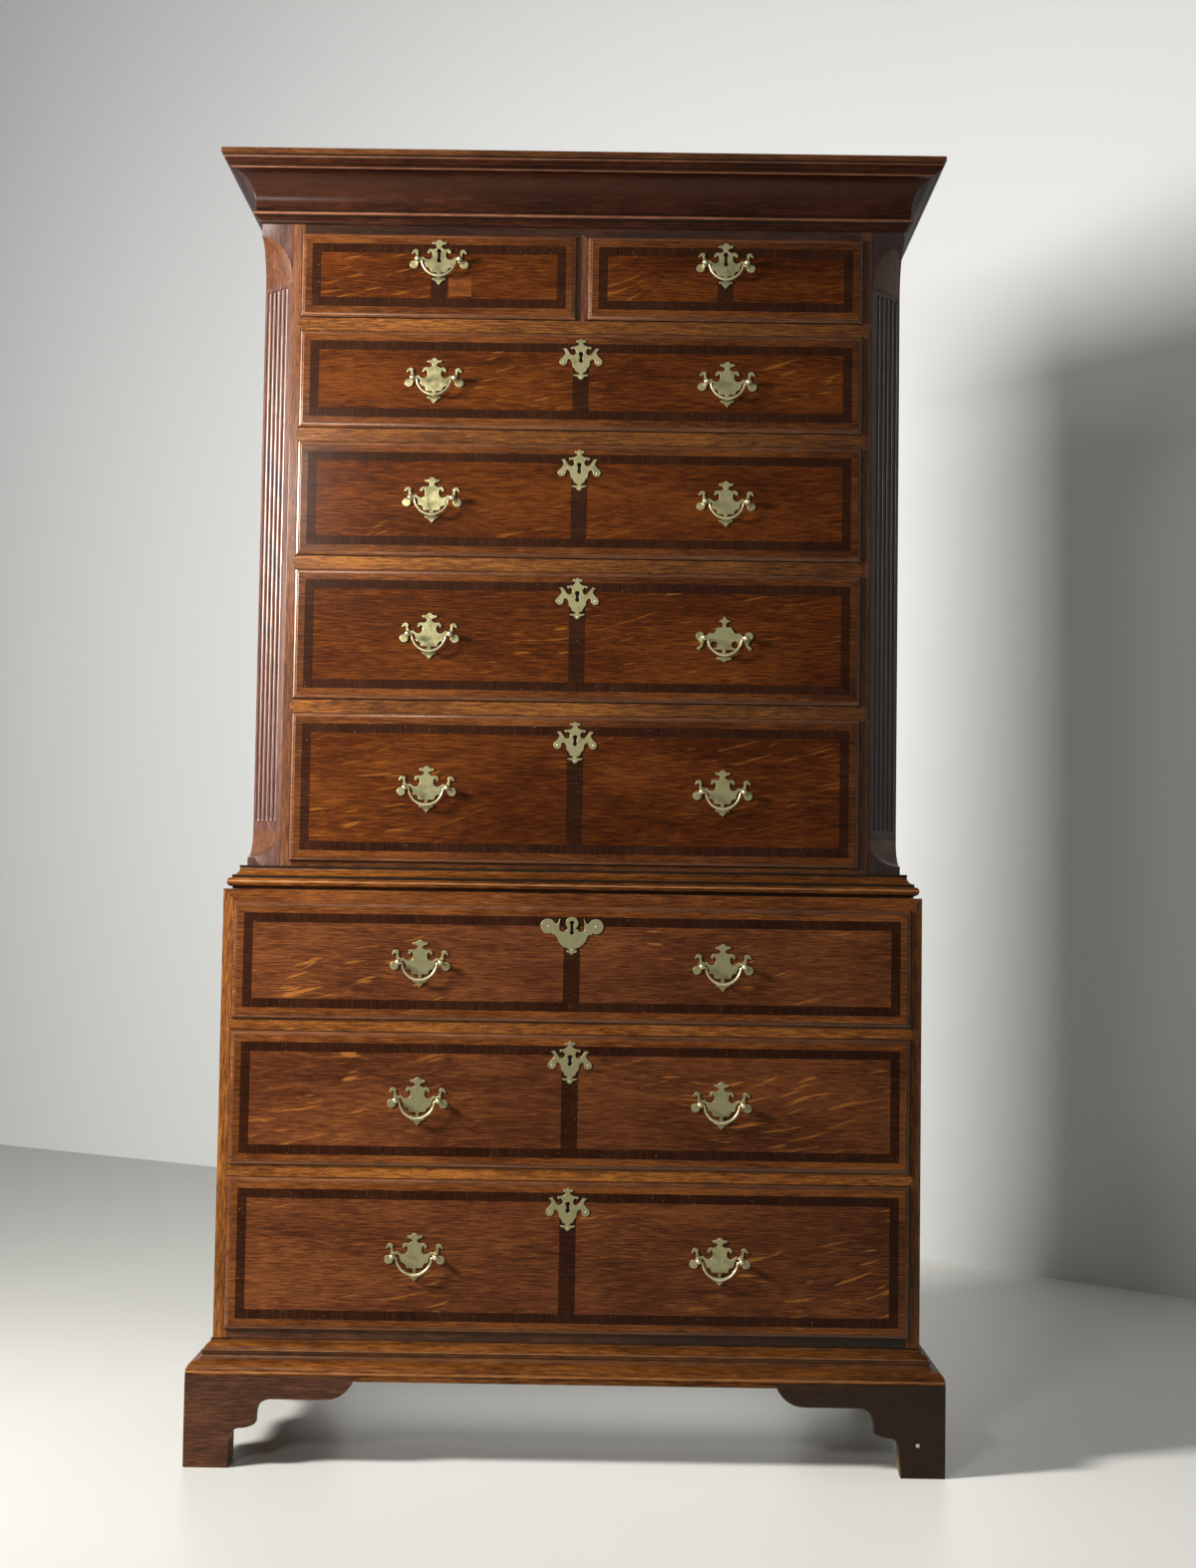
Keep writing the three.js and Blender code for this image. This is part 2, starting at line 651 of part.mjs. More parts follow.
function keyholeCutter(height, depth) {
  // A keyhole's hollow: a round head, a waist and a rounded foot, centred on its height.
  const shape = new THREE.Shape();
  const top = height / 2 - keyhole.head;
  const low = keyhole.foot - height / 2;
  const lean = Math.asin(keyhole.waist / keyhole.head);
  const tuck = Math.asin(keyhole.waist / keyhole.foot);
  shape.absarc(0, top, keyhole.head, lean - Math.PI / 2, Math.PI * 1.5 - lean, false);
  shape.absarc(0, low, keyhole.foot, Math.PI / 2 + tuck, Math.PI * 2.5 - tuck, false);
  const options = { depth, bevelEnabled: false, curveSegments: keyholeSteps };
  const geometry = new THREE.ExtrudeGeometry(shape, options);
  geometry.rotateX(Math.PI / 2);
  return geometry;
}

function postSolid() {
  // A turned post with a round head and a blind hole for the bail's pin on its inner side.
  const profile = [
    new THREE.Vector2(0, plate.thick / 2), new THREE.Vector2(post.stem, plate.thick / 2),
    new THREE.Vector2(post.stem, post.neck), new THREE.Vector2(post.head, post.pivot - post.stem),
    new THREE.Vector2(post.head, post.pivot + post.stem), new THREE.Vector2(0, post.length),
  ];
  const geometry = new THREE.LatheGeometry(profile, postSides);
  geometry.rotateX(Math.PI);
  geometry.translate(post.reach, 0, 0);
  const hole = new THREE.CylinderGeometry(post.hole, post.hole, post.holeDepth + overrun, postSides);
  hole.rotateZ(Math.PI / 2);
  const mouth = post.reach - post.head;
  hole.translate(mouth + (post.holeDepth - overrun) / 2, -post.pivot, 0);
  return solidOf(geometry).subtract(solidOf(hole));
}

function backPlate(kind) {
  // A cut plate with its two posts: plain, with a keyhole, or the odd one with its two piercings.
  const odd = kind === 'odd';
  let cut = plateSolid(odd ? oddPlateArcShares : plateArcShares, plate.half, plate.thick);
  if (kind === 'keyed') {
    const hole = keyholeCutter(keyholeHeight.plate, plate.thick + overrun * 2);
    hole.translate(0, overrun, keyholeLift.plate);
    cut = cut.subtract(solidOf(hole));
  }
  if (odd) {
    const [x, z, radius] = piercingShares.map((share) => share * plate.half);
    const hole = new THREE.CylinderGeometry(radius, radius, plate.thick + overrun * 2, piercingSides);
    hole.translate(x, 0, z);
    const right = solidOf(hole);
    cut = cut.subtract(right).subtract(mirrored(right));
  }
  const right = postSolid();
  return join([cut, right, mirrored(right)]);
}

function bailSolid() {
  // A swinging bail: a pin, a half-round loop thicker at its middle, and the other pin.
  const pinTip = post.reach - post.head + post.holeDepth - bail.pinEnd;
  const stations = [[pinTip, 0, bail.pin], [bail.radius + bail.elbow / 2, 0, bail.pin]];
  const elbowTurn = bail.elbow / bail.radius;
  for (let i = 0; i <= bailSteps; i += 1) {
    const angle = Math.PI * ((i / bailSteps) * (1 - elbowTurn) + elbowTurn / 2);
    const thick = bail.arm + (bail.middle - bail.arm) * Math.sin(angle) ** 2;
    stations.push([bail.radius * Math.cos(angle), -bail.radius * Math.sin(angle), thick]);
  }
  stations.push([-bail.radius - bail.elbow / 2, 0, bail.pin], [-pinTip, 0, bail.pin]);
  const rings = stations.map(([x, z, radius], i) => {
    const [ax, az] = stations[Math.max(i - 1, 0)];
    const [bx, bz] = stations[Math.min(i + 1, stations.length - 1)];
    const length = Math.hypot(bx - ax, bz - az);
    const tx = (bx - ax) / length;
    const tz = (bz - az) / length;
    const ring = [];
    for (let j = 0; j < bailSides; j += 1) {
      const turn = (2 * Math.PI * j) / bailSides;
      const side = radius * Math.cos(turn);
      ring.push([x - tz * side, radius * Math.sin(turn) - post.pivot, z + tx * side]);
    }
    return ring;
  });
  return loft(rings.map((ring) => ring.slice().reverse()));
}

function frontPanel(x0, x1, z0, z1, front) {
  // A drawer front: the board inside the opening, and the moulded lip that closes over its edges.
  const inset = lip.overlap + drawerSideClearance;
  const levels = [[inset, frontBoard], [inset, -gap], [0, -gap], [0, -gap - lip.edge]];
  for (let i = 1; i <= mouldingSteps - 1; i += 1) {
    const angle = (i / (mouldingSteps - 1)) * (Math.PI / 2);
    const rise = lip.ovoloRise * Math.sin(angle);
    levels.push([lip.ovoloWidth * (1 - Math.cos(angle)), -gap - lip.edge - rise]);
  }
  levels.push([lip.ovoloWidth, -frontFace]);
  return loft(levels.map(([cut, y]) => [
    [x0 + cut, front + y, z0 + cut], [x1 - cut, front + y, z0 + cut],
    [x1 - cut, front + y, z1 - cut], [x0 + cut, front + y, z1 - cut],
  ]));
}

function drawerSolid(row) {
  // A dovetailed drawer: the moulded front, two sides, a back and a bottom.
  const { x0, x1, z0, z1, front } = row;
  const inset = lip.overlap + drawerSideClearance;
  const boxBack = back - backBoard - drawerBackClearance;
  const low = z0 + lip.overlap + gap;
  const high = z1 - lip.overlap - drawerTopClearance;
  const box = block(x0 + inset, x1 - inset, front + frontBoard / 2, boxBack, low, high);
  const hollow = block(
    x0 + inset + drawerBoard, x1 - inset - drawerBoard, front + frontBoard, boxBack - drawerBoard,
    low + drawerBottom, high + overrun,
  );
  const panel = frontPanel(x0, x1, z0, z1, front);
  let drawer = panel.add(box.subtract(hollow));
  const hole = keyholeCutter(keyholeHeight[row.escutcheon ?? 'plate'], keyhole.recess + overrun);
  const middle = (x0 + x1) / 2;
  const face = front - frontFace;
  if (row.escutcheon) {
    const height = z1 - escutcheon.drop;
    const round = row.escutcheon === 'round';
    const shape = round ? [roundArcShares, escutcheon.roundHalf] : [batwingArcShares, escutcheon.half];
    const cover = geometryOf(plateSolid(...shape, escutcheon.thick + gap));
    cover.translate(middle, face + gap, height);
    hole.translate(middle, face + keyhole.recess - escutcheon.thick, height + keyholeLift[row.escutcheon]);
    drawer = drawer.add(solidOf(cover));
  } else {
    hole.translate(middle, face + keyhole.recess, (z0 + z1) / 2 + shortHandleLift + keyholeLift.plate);
  }
  return drawer.subtract(solidOf(hole));
}

function drawerRows() {
  // Every drawer from the top down, with its place and its handles.
  const rows = [];
  const [shortLow, shortHigh] = upperRows.at(-1);
  const half = upperFrontHalf;
  const inner = muntinShow / 2;
  const short = { z0: shortLow, z1: shortHigh, front: frontUpper, plate: 'keyed', lift: shortHandleLift };
  rows.push({ name: 'drawer_1_left', x0: -half, x1: -inner, ...short, handles: [['', -(half + inner) / 2]] });
  rows.push({ name: 'drawer_1_right', x0: inner, x1: half, ...short, handles: [['', (half + inner) / 2]] });
  const long = upperRows.slice(0, -1).reverse().map(([z0, z1]) => (
    { z0, z1, half, front: frontUpper, reach: handleReach }));
  const low = lowerRows.slice().reverse().map(([z0, z1]) => (
    { z0, z1, half: lowerFrontHalf, front: frontLower, reach: lowerHandleReach }));
  long.concat(low).forEach((row, i) => {
    rows.push({
      name: `drawer_${i + 2}`, x0: -row.half, x1: row.half, z0: row.z0, z1: row.z1, front: row.front,
      escutcheon: i === long.length ? 'round' : 'batwing', lift: 0,
      plate: 'plain', handles: [['left_', -row.reach], ['right_', row.reach]],
    });
  });
  return rows;
}

function add(group, name, solid, colour, roughness, metalness = 0) {
  // One named piece with its own material.
  const material = new THREE.MeshStandardMaterial({ color: colour, roughness, metalness, flatShading: true });
  const geometry = solid.isBufferGeometry ? solid : geometryOf(solid);
  const mesh = new THREE.Mesh(geometry, material);
  mesh.name = name;
  group.add(mesh);
  return mesh;
}

function buildCarcases(group) {
  // Both carcases with their mouldings, frames, columns and feet.
  const upperInner = upperHalf - upperSide;
  const lowerLeft = block(
    -lowerHalf, -lowerOpening, frontLower + stileDepth + gap, back, lowerBottom + gap, lowerTop - gap,
  );
  const right = rightColumn();
  add(group, 'lower_left_side', lowerLeft, colours.oak, 0.45);
  add(group, 'lower_right_side', mirrored(lowerLeft), colours.oak, 0.45);
  add(group, 'lower_top_and_waist_moulding', lowerLid(), colours.darkOak, 0.4);
  add(group, 'lower_bottom_and_base_moulding', lowerBase(), colours.darkOak, 0.4);
  const lowerBack = plankWall(lowerOpening - gap, lowerBottom + gap, lowerTop - gap);
  add(group, 'lower_back_boards', lowerBack, colours.lining, 0.8);
  add(group, 'lower_face_frame', lowerFaceFrame(), colours.oak, 0.45);
  add(group, 'upper_left_side', upperLeftSide(), colours.oak, 0.45);
  add(group, 'upper_right_side', mirrored(upperLeftSide()), colours.oak, 0.45);
  add(group, 'upper_left_column', mirrored(right), colours.mahogany, 0.35);
  add(group, 'upper_right_column', right, colours.mahogany, 0.35);
  const outer = columnHalf - gap;
  const topOutline = upperBoardOutline(frontUpper + stileDepth + gap, outer);
  add(group, 'upper_top_board', board(topOutline, caseTop - topBoard, caseTop), colours.lining, 0.8);
  const floor = upperRows[0][0] + lip.overlap;
  const bottomOutline = upperBoardOutline(frontUpper, upperOpening - gap);
  add(group, 'upper_bottom_board', board(bottomOutline, floor - bottomBoard, floor), colours.darkOak, 0.6);
  add(group, 'upper_back_boards', plankWall(upperInner - gap, lowerTop + gap, caseTop), colours.lining, 0.8);
  add(group, 'upper_face_frame', upperFaceFrame(), colours.oak, 0.45);
  add(group, 'cornice', cornice(), colours.mahogany, 0.35);
  add(group, 'front_left_foot', frontFoot(), colours.darkOak, 0.5);
  add(group, 'front_right_foot', mirrored(frontFoot()), colours.darkOak, 0.5);
  add(group, 'back_left_foot', backFoot(), colours.darkOak, 0.5);
  add(group, 'back_right_foot', mirrored(backFoot()), colours.darkOak, 0.5);
}

function buildDrawers(group) {
  // Nine drawers with their handles; each handle is a plate with posts and a swinging bail.
  const plates = {
    plain: geometryOf(backPlate('plain')),
    keyed: geometryOf(backPlate('keyed')),
    odd: geometryOf(backPlate('odd')),
  };
  const loop = geometryOf(bailSolid());
  for (const row of drawerRows()) {
    add(group, row.name, drawerSolid(row), colours.oak, 0.4);
    for (const [side, x] of row.handles) {
      const kind = row.name === 'drawer_4' && x > 0 ? 'odd' : row.plate;
      const place = [x, row.front - frontFace - gap, (row.z0 + row.z1) / 2 + row.lift];
      const cover = add(group, `${row.name}_${side}plate`, plates[kind].clone(), colours.brass, 0.35, 1);
      const swing = add(group, `${row.name}_${side}bail`, loop.clone(), colours.brass, 0.3, 1);
      cover.position.set(...place);
      swing.position.set(...place);
    }
  }
}

const group = new THREE.Group();
buildCarcases(group);
buildDrawers(group);

export default group;
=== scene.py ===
"""Chest on chest in oak with crossbanded drawers, fluted corners, bracket feet and cut brass handles.

Metres, X to the right, Y to the back, Z up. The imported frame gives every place; the looks are built round it.
"""
import logging
import math
from collections.abc import Callable, Iterator, Sequence
from contextlib import contextmanager
from dataclasses import dataclass, field
from enum import Enum, IntEnum

import bmesh
import bpy
from bpy.types import Material, NodeSocket, Object
from mathutils import Matrix, Vector


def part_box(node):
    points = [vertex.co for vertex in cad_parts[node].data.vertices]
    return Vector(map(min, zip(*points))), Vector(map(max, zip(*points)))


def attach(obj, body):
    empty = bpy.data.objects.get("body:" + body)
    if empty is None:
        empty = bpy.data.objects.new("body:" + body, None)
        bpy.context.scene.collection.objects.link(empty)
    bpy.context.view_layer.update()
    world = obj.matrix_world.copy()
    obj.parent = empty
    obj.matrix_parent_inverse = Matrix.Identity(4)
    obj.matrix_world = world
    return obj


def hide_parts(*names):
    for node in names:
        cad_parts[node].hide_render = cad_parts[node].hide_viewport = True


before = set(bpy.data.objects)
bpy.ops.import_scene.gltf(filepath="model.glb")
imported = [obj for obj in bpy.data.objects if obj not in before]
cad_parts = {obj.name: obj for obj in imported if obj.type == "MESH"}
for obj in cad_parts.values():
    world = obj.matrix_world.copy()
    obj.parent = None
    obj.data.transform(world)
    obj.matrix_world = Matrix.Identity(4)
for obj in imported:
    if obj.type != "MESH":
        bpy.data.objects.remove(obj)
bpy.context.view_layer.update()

log = logging.getLogger("chest_on_chest")

MM = 0.001
OVERRUN = 6 * MM
HAIR = 0.3 * MM
ARRIS = 0.7 * MM
PLANED = 0.4 * MM
ROUNDED = 1.2 * MM
CURVE_ANGLE = math.radians(40)
FLAT_ANGLE = math.radians(20)
RIGHT = Vector((1, 0, 0))
INWARD = Vector((0, 1, 0))
FRONT = Vector((0, -1, 0))
UP = Vector((0, 0, 1))
Point = tuple[float, float]
Place = tuple[float, float, float]
Colour = tuple[float, float, float]

# How closely a face's normal keeps to a direction, as the cosine of the angle between them
HARDLY, NEARLY, CLOSELY, EXACTLY = 0.01, 0.9, 0.99, 0.999


# Bench work: small steps that every sub-assembly uses


def only(piece: Object) -> None:
    """Makes one piece the only selected and active one.

    Args:
        piece: The piece.
    """
    bpy.ops.object.select_all(action="DESELECT")
    piece.select_set(True)
    bpy.context.view_layer.objects.active = piece


@contextmanager
def editing(piece: Object) -> Iterator[None]:
    """Opens a piece in edit mode with nothing selected, and closes it again.

    Args:
        piece: The piece.

    Yields:
        Control, once the piece is open.
    """
    only(piece)
    bpy.ops.object.mode_set(mode="EDIT")
    bpy.ops.mesh.select_mode(type="FACE")
    bpy.ops.mesh.select_all(action="DESELECT")
    yield
    bpy.ops.object.mode_set(mode="OBJECT")


def pick(piece: Object, test: Callable[[Vector, Vector], bool]) -> None:
    """Selects the faces whose middle and normal pass a test.

    Args:
        piece: A piece that is open in edit mode.
        test: Takes a face's middle and its normal.
    """
    mesh = bmesh.from_edit_mesh(piece.data)
    for face in mesh.faces:
        face.select_set(test(face.calc_center_median(), face.normal))
    bmesh.update_edit_mesh(piece.data)


def facing(direction: Vector) -> Callable[[Vector, Vector], bool]:
    """A test for faces that look in one direction."""
    return lambda middle, normal: normal.dot(direction) > CLOSELY


def settle(piece: Object, name: str = "") -> Object:
    """Applies a piece's place, turn and scale to its mesh and names it.

    Args:
        piece: The piece to settle.
        name: Its new name, or nothing to keep the old one.

    Returns:
        The same piece.
    """
    only(piece)
    bpy.ops.object.transform_apply(location=True, rotation=True, scale=True)
    if name:
        piece.name = name
        piece.data.name = name
    return piece


def soften(piece: Object, width: float = ARRIS, segments: int = 2, angle: float = 40,
           smooth: float = FLAT_ANGLE) -> Object:
    """Rounds the sharp arrises of a piece and shades it smooth between them.

    Args:
        piece: The piece.
        width: How far the rounding reaches from the arris.
        segments: Steps of the rounding.
        angle: Edges sharper than this many degrees are rounded.
        smooth: Edges blunter than this, in radians, are shaded away.

    Returns:
        The same piece.
    """
    only(piece)
    if width:
        bevel = piece.modifiers.new("arris", "BEVEL")
        bevel.width = width
        bevel.segments = segments
        bevel.limit_method = "ANGLE"
        bevel.angle_limit = math.radians(angle)
        bevel.harden_normals = False
        bpy.ops.object.modifier_apply(modifier="arris")
    bpy.ops.object.shade_smooth_by_angle(angle=smooth)
    return piece


def board(name: str, low: Sequence[float], high: Sequence[float], arris: float = ARRIS) -> Object:
    """A planed board between two corners, with its arrises eased.

    Args:
        name: The board's name.
        low: Its lowest corner.
        high: Its highest corner.
        arris: How far each arris is eased.

    Returns:
        The board.
    """
    low, high = Vector(low), Vector(high)
    bpy.ops.mesh.primitive_cube_add(size=1, location=(low + high) / 2)
    piece = bpy.context.active_object
    piece.scale = high - low
    settle(piece, name)
    return soften(piece, arris)


def close_up(piece: Object, merge: float = 1e-6) -> None:
    """Merges doubled points and turns every face outwards.

    Args:
        piece: The piece.
        merge: How near two points are one.
    """
    with editing(piece):
        bpy.ops.mesh.select_all(action="SELECT")
        bpy.ops.mesh.remove_doubles(threshold=merge)
        bpy.ops.mesh.normals_make_consistent(inside=False)


def placed(along_x: Vector, along_y: Vector, origin: Sequence[float]) -> Matrix:
    """A placing whose X and Y run along two given directions.

    Args:
        along_x: Where the drawing's X goes.
        along_y: Where the drawing's Y goes.
        origin: Where the drawing's origin goes.

    Returns:
        The matrix of the placing.
    """
    basis = Matrix((along_x, along_y, along_x.cross(along_y))).transposed().to_4x4()
    return Matrix.Translation(origin) @ basis


def sawn(name: str, outlines: Sequence[Sequence[Point]], thick: float, edge: float, place: Matrix) -> Object:
    """A flat piece sawn to an outline, its middle plane on the drawing.

    Args:
        name: The piece's name.
        outlines: The rim, and after it any holes.
        thick: Its thickness.
        edge: How far its edges are rounded.
        place: Where the drawing lies.

    Returns:
        The piece.
    """
    bpy.ops.curve.primitive_bezier_circle_add()
    piece = bpy.context.active_object
    curve = piece.data
    curve.splines.clear()
    curve.dimensions = "2D"
    curve.fill_mode = "BOTH"
    for outline in outlines:
        spline = curve.splines.new("POLY")
        spline.points.add(len(outline) - 1)
        for point, (x, y) in zip(spline.points, outline):
            point.co = (x, y, 0, 1)
        spline.use_cyclic_u = True
    curve.extrude = thick / 2 - edge
    curve.bevel_depth = edge
    curve.bevel_resolution = 1
    curve.offset = -edge
    only(piece)
    bpy.ops.object.convert(target="MESH")
    piece = bpy.context.active_object
    piece.matrix_world = place
    settle(piece, name)
    close_up(piece)
    return soften(piece, 0)


def halve(piece: Object, point: Sequence[float], away: Sequence[float]) -> None:
    """Saws a piece through a plane, drops what lies beyond it and closes the cut.

    Args:
        piece: The piece.
        point: A point on the plane.
        away: The side that is dropped.
    """
    with editing(piece):
        bpy.ops.mesh.select_all(action="SELECT")
        bpy.ops.mesh.bisect(plane_co=point, plane_no=away, use_fill=True, clear_outer=True)


def turned(name: str, stations: Sequence[Point], sides: int) -> Object:
    """A turned piece standing on Z, drawn out station by station.

    Args:
        name: The piece's name.
        stations: Height and radius of each station, from the foot up.
        sides: Faces round it.

    Returns:
        The piece.
    """
    foot, radius = stations[0]
    bpy.ops.mesh.primitive_circle_add(vertices=sides, radius=radius, fill_type="NGON", location=(0, 0, foot))
    piece = settle(bpy.context.active_object, name)
    height = foot
    with editing(piece):
        bpy.ops.mesh.select_all(action="SELECT")
        for z, wide in stations[1:]:
            bpy.ops.mesh.extrude_region_move(TRANSFORM_OT_translate={"value": (0, 0, z - height)})
            ratio = wide / radius
            bpy.ops.transform.resize(value=(ratio, ratio, 1), center_override=(0, 0, z))
            height, radius = z, wide
    close_up(piece)
    return soften(piece, 0, smooth=CURVE_ANGLE)


def bent_rod(name: str, stations: Sequence[tuple[Vector, float]], sides: int = 3) -> Object:
    """A round rod bent through given points, with its own thickness at each.

    Args:
        name: The rod's name.
        stations: Point and radius, from one end to the other.
        sides: Blender's resolution round the rod.

    Returns:
        The rod.
    """
    bpy.ops.curve.primitive_bezier_curve_add()
    piece = bpy.context.active_object
    curve = piece.data
    curve.splines.clear()
    curve.dimensions = "3D"
    spline = curve.splines.new("POLY")
    spline.points.add(len(stations) - 1)
    for point, (place, radius) in zip(spline.points, stations):
        point.co = (*place, 1)
        point.radius = radius / MM
    curve.bevel_depth = MM
    curve.bevel_resolution = sides
    curve.use_fill_caps = True
    only(piece)
    bpy.ops.object.convert(target="MESH")
    piece = settle(bpy.context.active_object, name)
    close_up(piece)
    return soften(piece, 0, smooth=CURVE_ANGLE)


def in_mm(stations: Sequence[Point]) -> list[Point]:
    """Stations of a turned piece that are written in millimetres, in metres."""
    return [(z * MM, radius * MM) for z, radius in stations]


def joined(name: str, pieces: Sequence[Object]) -> Object:
    """Joins pieces that are glued up into one object.

    Args:
        name: The name of the whole.
        pieces: The pieces; their meshes end up in the first.

    Returns:
        The whole.
    """
    only(pieces[0])
    for piece in pieces[1:]:
        piece.select_set(True)
    if len(pieces) > 1:
        bpy.ops.object.join()
    return settle(bpy.context.active_object, name)


def copied(piece: Object, name: str, matrix: Matrix) -> Object:
    """A copy of a piece with its own mesh, moved within it.

    Args:
        piece: The piece to copy.
        name: The copy's name.
        matrix: How the copy's mesh is moved.

    Returns:
        The copy.
    """
    twin = piece.copy()
    twin.data = piece.data.copy()
    twin.data.transform(matrix)
    if matrix.determinant() < 0:
        twin.data.flip_normals()
    twin.name = name
    twin.data.name = name
    bpy.context.collection.objects.link(twin)
    return twin


def mirrored(piece: Object, name: str) -> Object:
    """The same piece for the other side of the chest."""
    return copied(piece, name, Matrix.Diagonal((-1, 1, 1, 1)))


def carved(piece: Object, cutter: Object) -> None:
    """Takes a cutter's shape out of a piece and throws the cutter away.

    Args:
        piece: The piece.
        cutter: A closed shape.
    """
    only(piece)
    cut = piece.modifiers.new("cut", "BOOLEAN")
    cut.operation = "DIFFERENCE"
    cut.solver = "EXACT"
    cut.object = cutter
    bpy.ops.object.modifier_apply(modifier="cut")
    bpy.data.objects.remove(cutter, do_unlink=True)


def fitted(piece: Object, body: str, slot: str, *nodes: str) -> Object:
    """Hangs a finished piece on its body, in place of any nodes it stands for.

    Args:
        piece: The piece.
        body: The body it moves with.
        slot: Not used.
        *nodes: Nodes that it replaces.

    Returns:
        The same piece.
    """
    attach(piece, body)
    if nodes:
        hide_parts(*nodes)
    log.info("%s rides on %s", piece.name, body)
    return piece


def arc(x: float, z: float, radius: float, first: float, last: float, step: float = 12) -> list[Point]:
    """Points on an arc.

    Args:
        x: Centre across.
        z: Centre up.
        radius: Its radius.
        first: First angle in degrees.
        last: Last angle in degrees.
        step: Degrees between points.

    Returns:
        The points in order.
    """
    count = max(1, round(abs(last - first) / step))
    angles = [math.radians(first + (last - first) * i / count) for i in range(count + 1)]
    return [(x + radius * math.cos(a), z + radius * math.sin(a)) for a in angles]


# Finishes


class Grain(Enum):
    """The way the fibres run, as the stretch of a pattern along X, Y and Z."""

    ACROSS = (1, 0, 0)
    DEEP = (0, 1, 0)
    UPRIGHT = (0, 0, 1)

    def stretch(self, along: float, across: float) -> Colour:
        """Pattern scales along and across the fibres."""
        return tuple(along if way else across for way in self.value)


@dataclass(frozen=True)
class Pattern:
    """A pattern in wood: how often it repeats along and across the fibres, and how fine it is."""

    along: float
    across: float
    detail: float = 1
    rough: float = 0.5


class Recipe:
    """A material under construction: a shader and short words for the nodes that feed it."""

    def __init__(self, name: str) -> None:
        """Starts an empty material.

        Args:
            name: The material's name.
        """
        self.material = bpy.data.materials.new(name)
        self.material.use_nodes = True
        self.tree = self.material.node_tree
        self.tree.nodes.clear()
        self.shader = self.tree.nodes.new("ShaderNodeBsdfPrincipled")
        output = self.tree.nodes.new("ShaderNodeOutputMaterial")
        self.tree.links.new(self.shader.outputs[0], output.inputs[0])
        self.place = self.tree.nodes.new("ShaderNodeTexCoord").outputs["Object"]

    def feed(self, socket: NodeSocket, value: object) -> None:
        """Links a socket, or sets it where the value is plain.

        Args:
            socket: An input.
            value: A node's output, or a number or colour.
        """
        if isinstance(value, NodeSocket):
            self.tree.links.new(value, socket)
        elif socket.type == "RGBA" and len(value) == 3:
            socket.default_value = (*value, 1)
        else:
            socket.default_value = value

    def shade(self, **inputs: object) -> None:
        """Sets or links the shader's inputs, named with underscores for spaces."""
        for name, value in inputs.items():
            self.feed(self.shader.inputs[name.replace("_", " ")], value)

    def moved(self, vector: NodeSocket, scale: Sequence[float], shift: Sequence[float] = (0, 0, 0),
              turn: Sequence[float] = (0, 0, 0)) -> NodeSocket:
        """A vector that is scaled, turned and shifted.

        Args:
            vector: The point.
            scale: Its scale on X, Y and Z.
            shift: How far it moves.
            turn: How far it turns, in radians.

        Returns:
            The new point.
        """
        node = self.tree.nodes.new("ShaderNodeMapping")
        self.feed(node.inputs["Vector"], vector)
        node.inputs["Scale"].default_value = scale
        node.inputs["Location"].default_value = shift
        node.inputs["Rotation"].default_value = turn
        return node.outputs[0]

    def noise(self, vector: NodeSocket, detail: float = 2, rough: float = 0.5, scale: float = 1,
              distortion: float = 0) -> NodeSocket:
        """Smooth noise between 0 and 1.

        Args:
            vector: The point.
            detail: How many finer layers it has.
            rough: How strong those are.
            scale: How often it repeats in a metre.
            distortion: How far it is swirled.

        Returns:
            The noise.
        """
        node = self.tree.nodes.new("ShaderNodeTexNoise")
        self.feed(node.inputs["Vector"], vector)
        node.inputs["Scale"].default_value = scale
        node.inputs["Detail"].default_value = detail
        node.inputs["Roughness"].default_value = rough
        node.inputs["Distortion"].default_value = distortion
        return node.outputs[0]

    def grained(self, vector: NodeSocket, grain: Grain, pattern: Pattern, start: Place) -> NodeSocket:
        """Noise that is drawn out along the fibres."""
        drawn = self.moved(vector, grain.stretch(pattern.along, pattern.across), start)
        return self.noise(drawn, pattern.detail, pattern.rough)

    def maths(self, how: str, a: object, b: object = 0.0, clamp: bool = False) -> NodeSocket:
        """One arithmetic step.

        Args:
            how: Its name.
            a: The first value.
            b: The second value.
            clamp: Whether it stays between 0 and 1.

        Returns:
            The result.
        """
        node = self.tree.nodes.new("ShaderNodeMath")
        node.operation = how
        node.use_clamp = clamp
        self.feed(node.inputs[0], a)
        self.feed(node.inputs[1], b)
        return node.outputs[0]

    def between(self, value: NodeSocket, low: float, high: float, to_low: float = 0,
                to_high: float = 1) -> NodeSocket:
        """A value spread smoothly from one range to another, and held at its ends.

        Args:
            value: The value.
            low: Where it starts.
            high: Where it ends.
            to_low: What the start becomes.
            to_high: What the end becomes.

        Returns:
            The new value.
        """
        node = self.tree.nodes.new("ShaderNodeMapRange")
        node.interpolation_type = "SMOOTHSTEP"
        self.feed(node.inputs["Value"], value)
        for name, number in zip(("From Min", "From Max", "To Min", "To Max"), (low, high, to_low, to_high)):
            node.inputs[name].default_value = number
        return node.outputs[0]

    def ramp(self, value: NodeSocket, stops: Sequence[tuple[float, Colour]]) -> NodeSocket:
        """A colour read from a ramp.

        Args:
            value: A place on the ramp.
            stops: The ramp's places and colours.

        Returns:
            The colour.
        """
        node = self.tree.nodes.new("ShaderNodeValToRGB")
        self.feed(node.inputs[0], value)
        marks = node.color_ramp.elements
        while len(marks) < len(stops):
            marks.new(0.5)
        for mark, (place, colour) in zip(marks, stops):
            mark.position = place
            mark.color = (*colour, 1)
        return node.outputs[0]

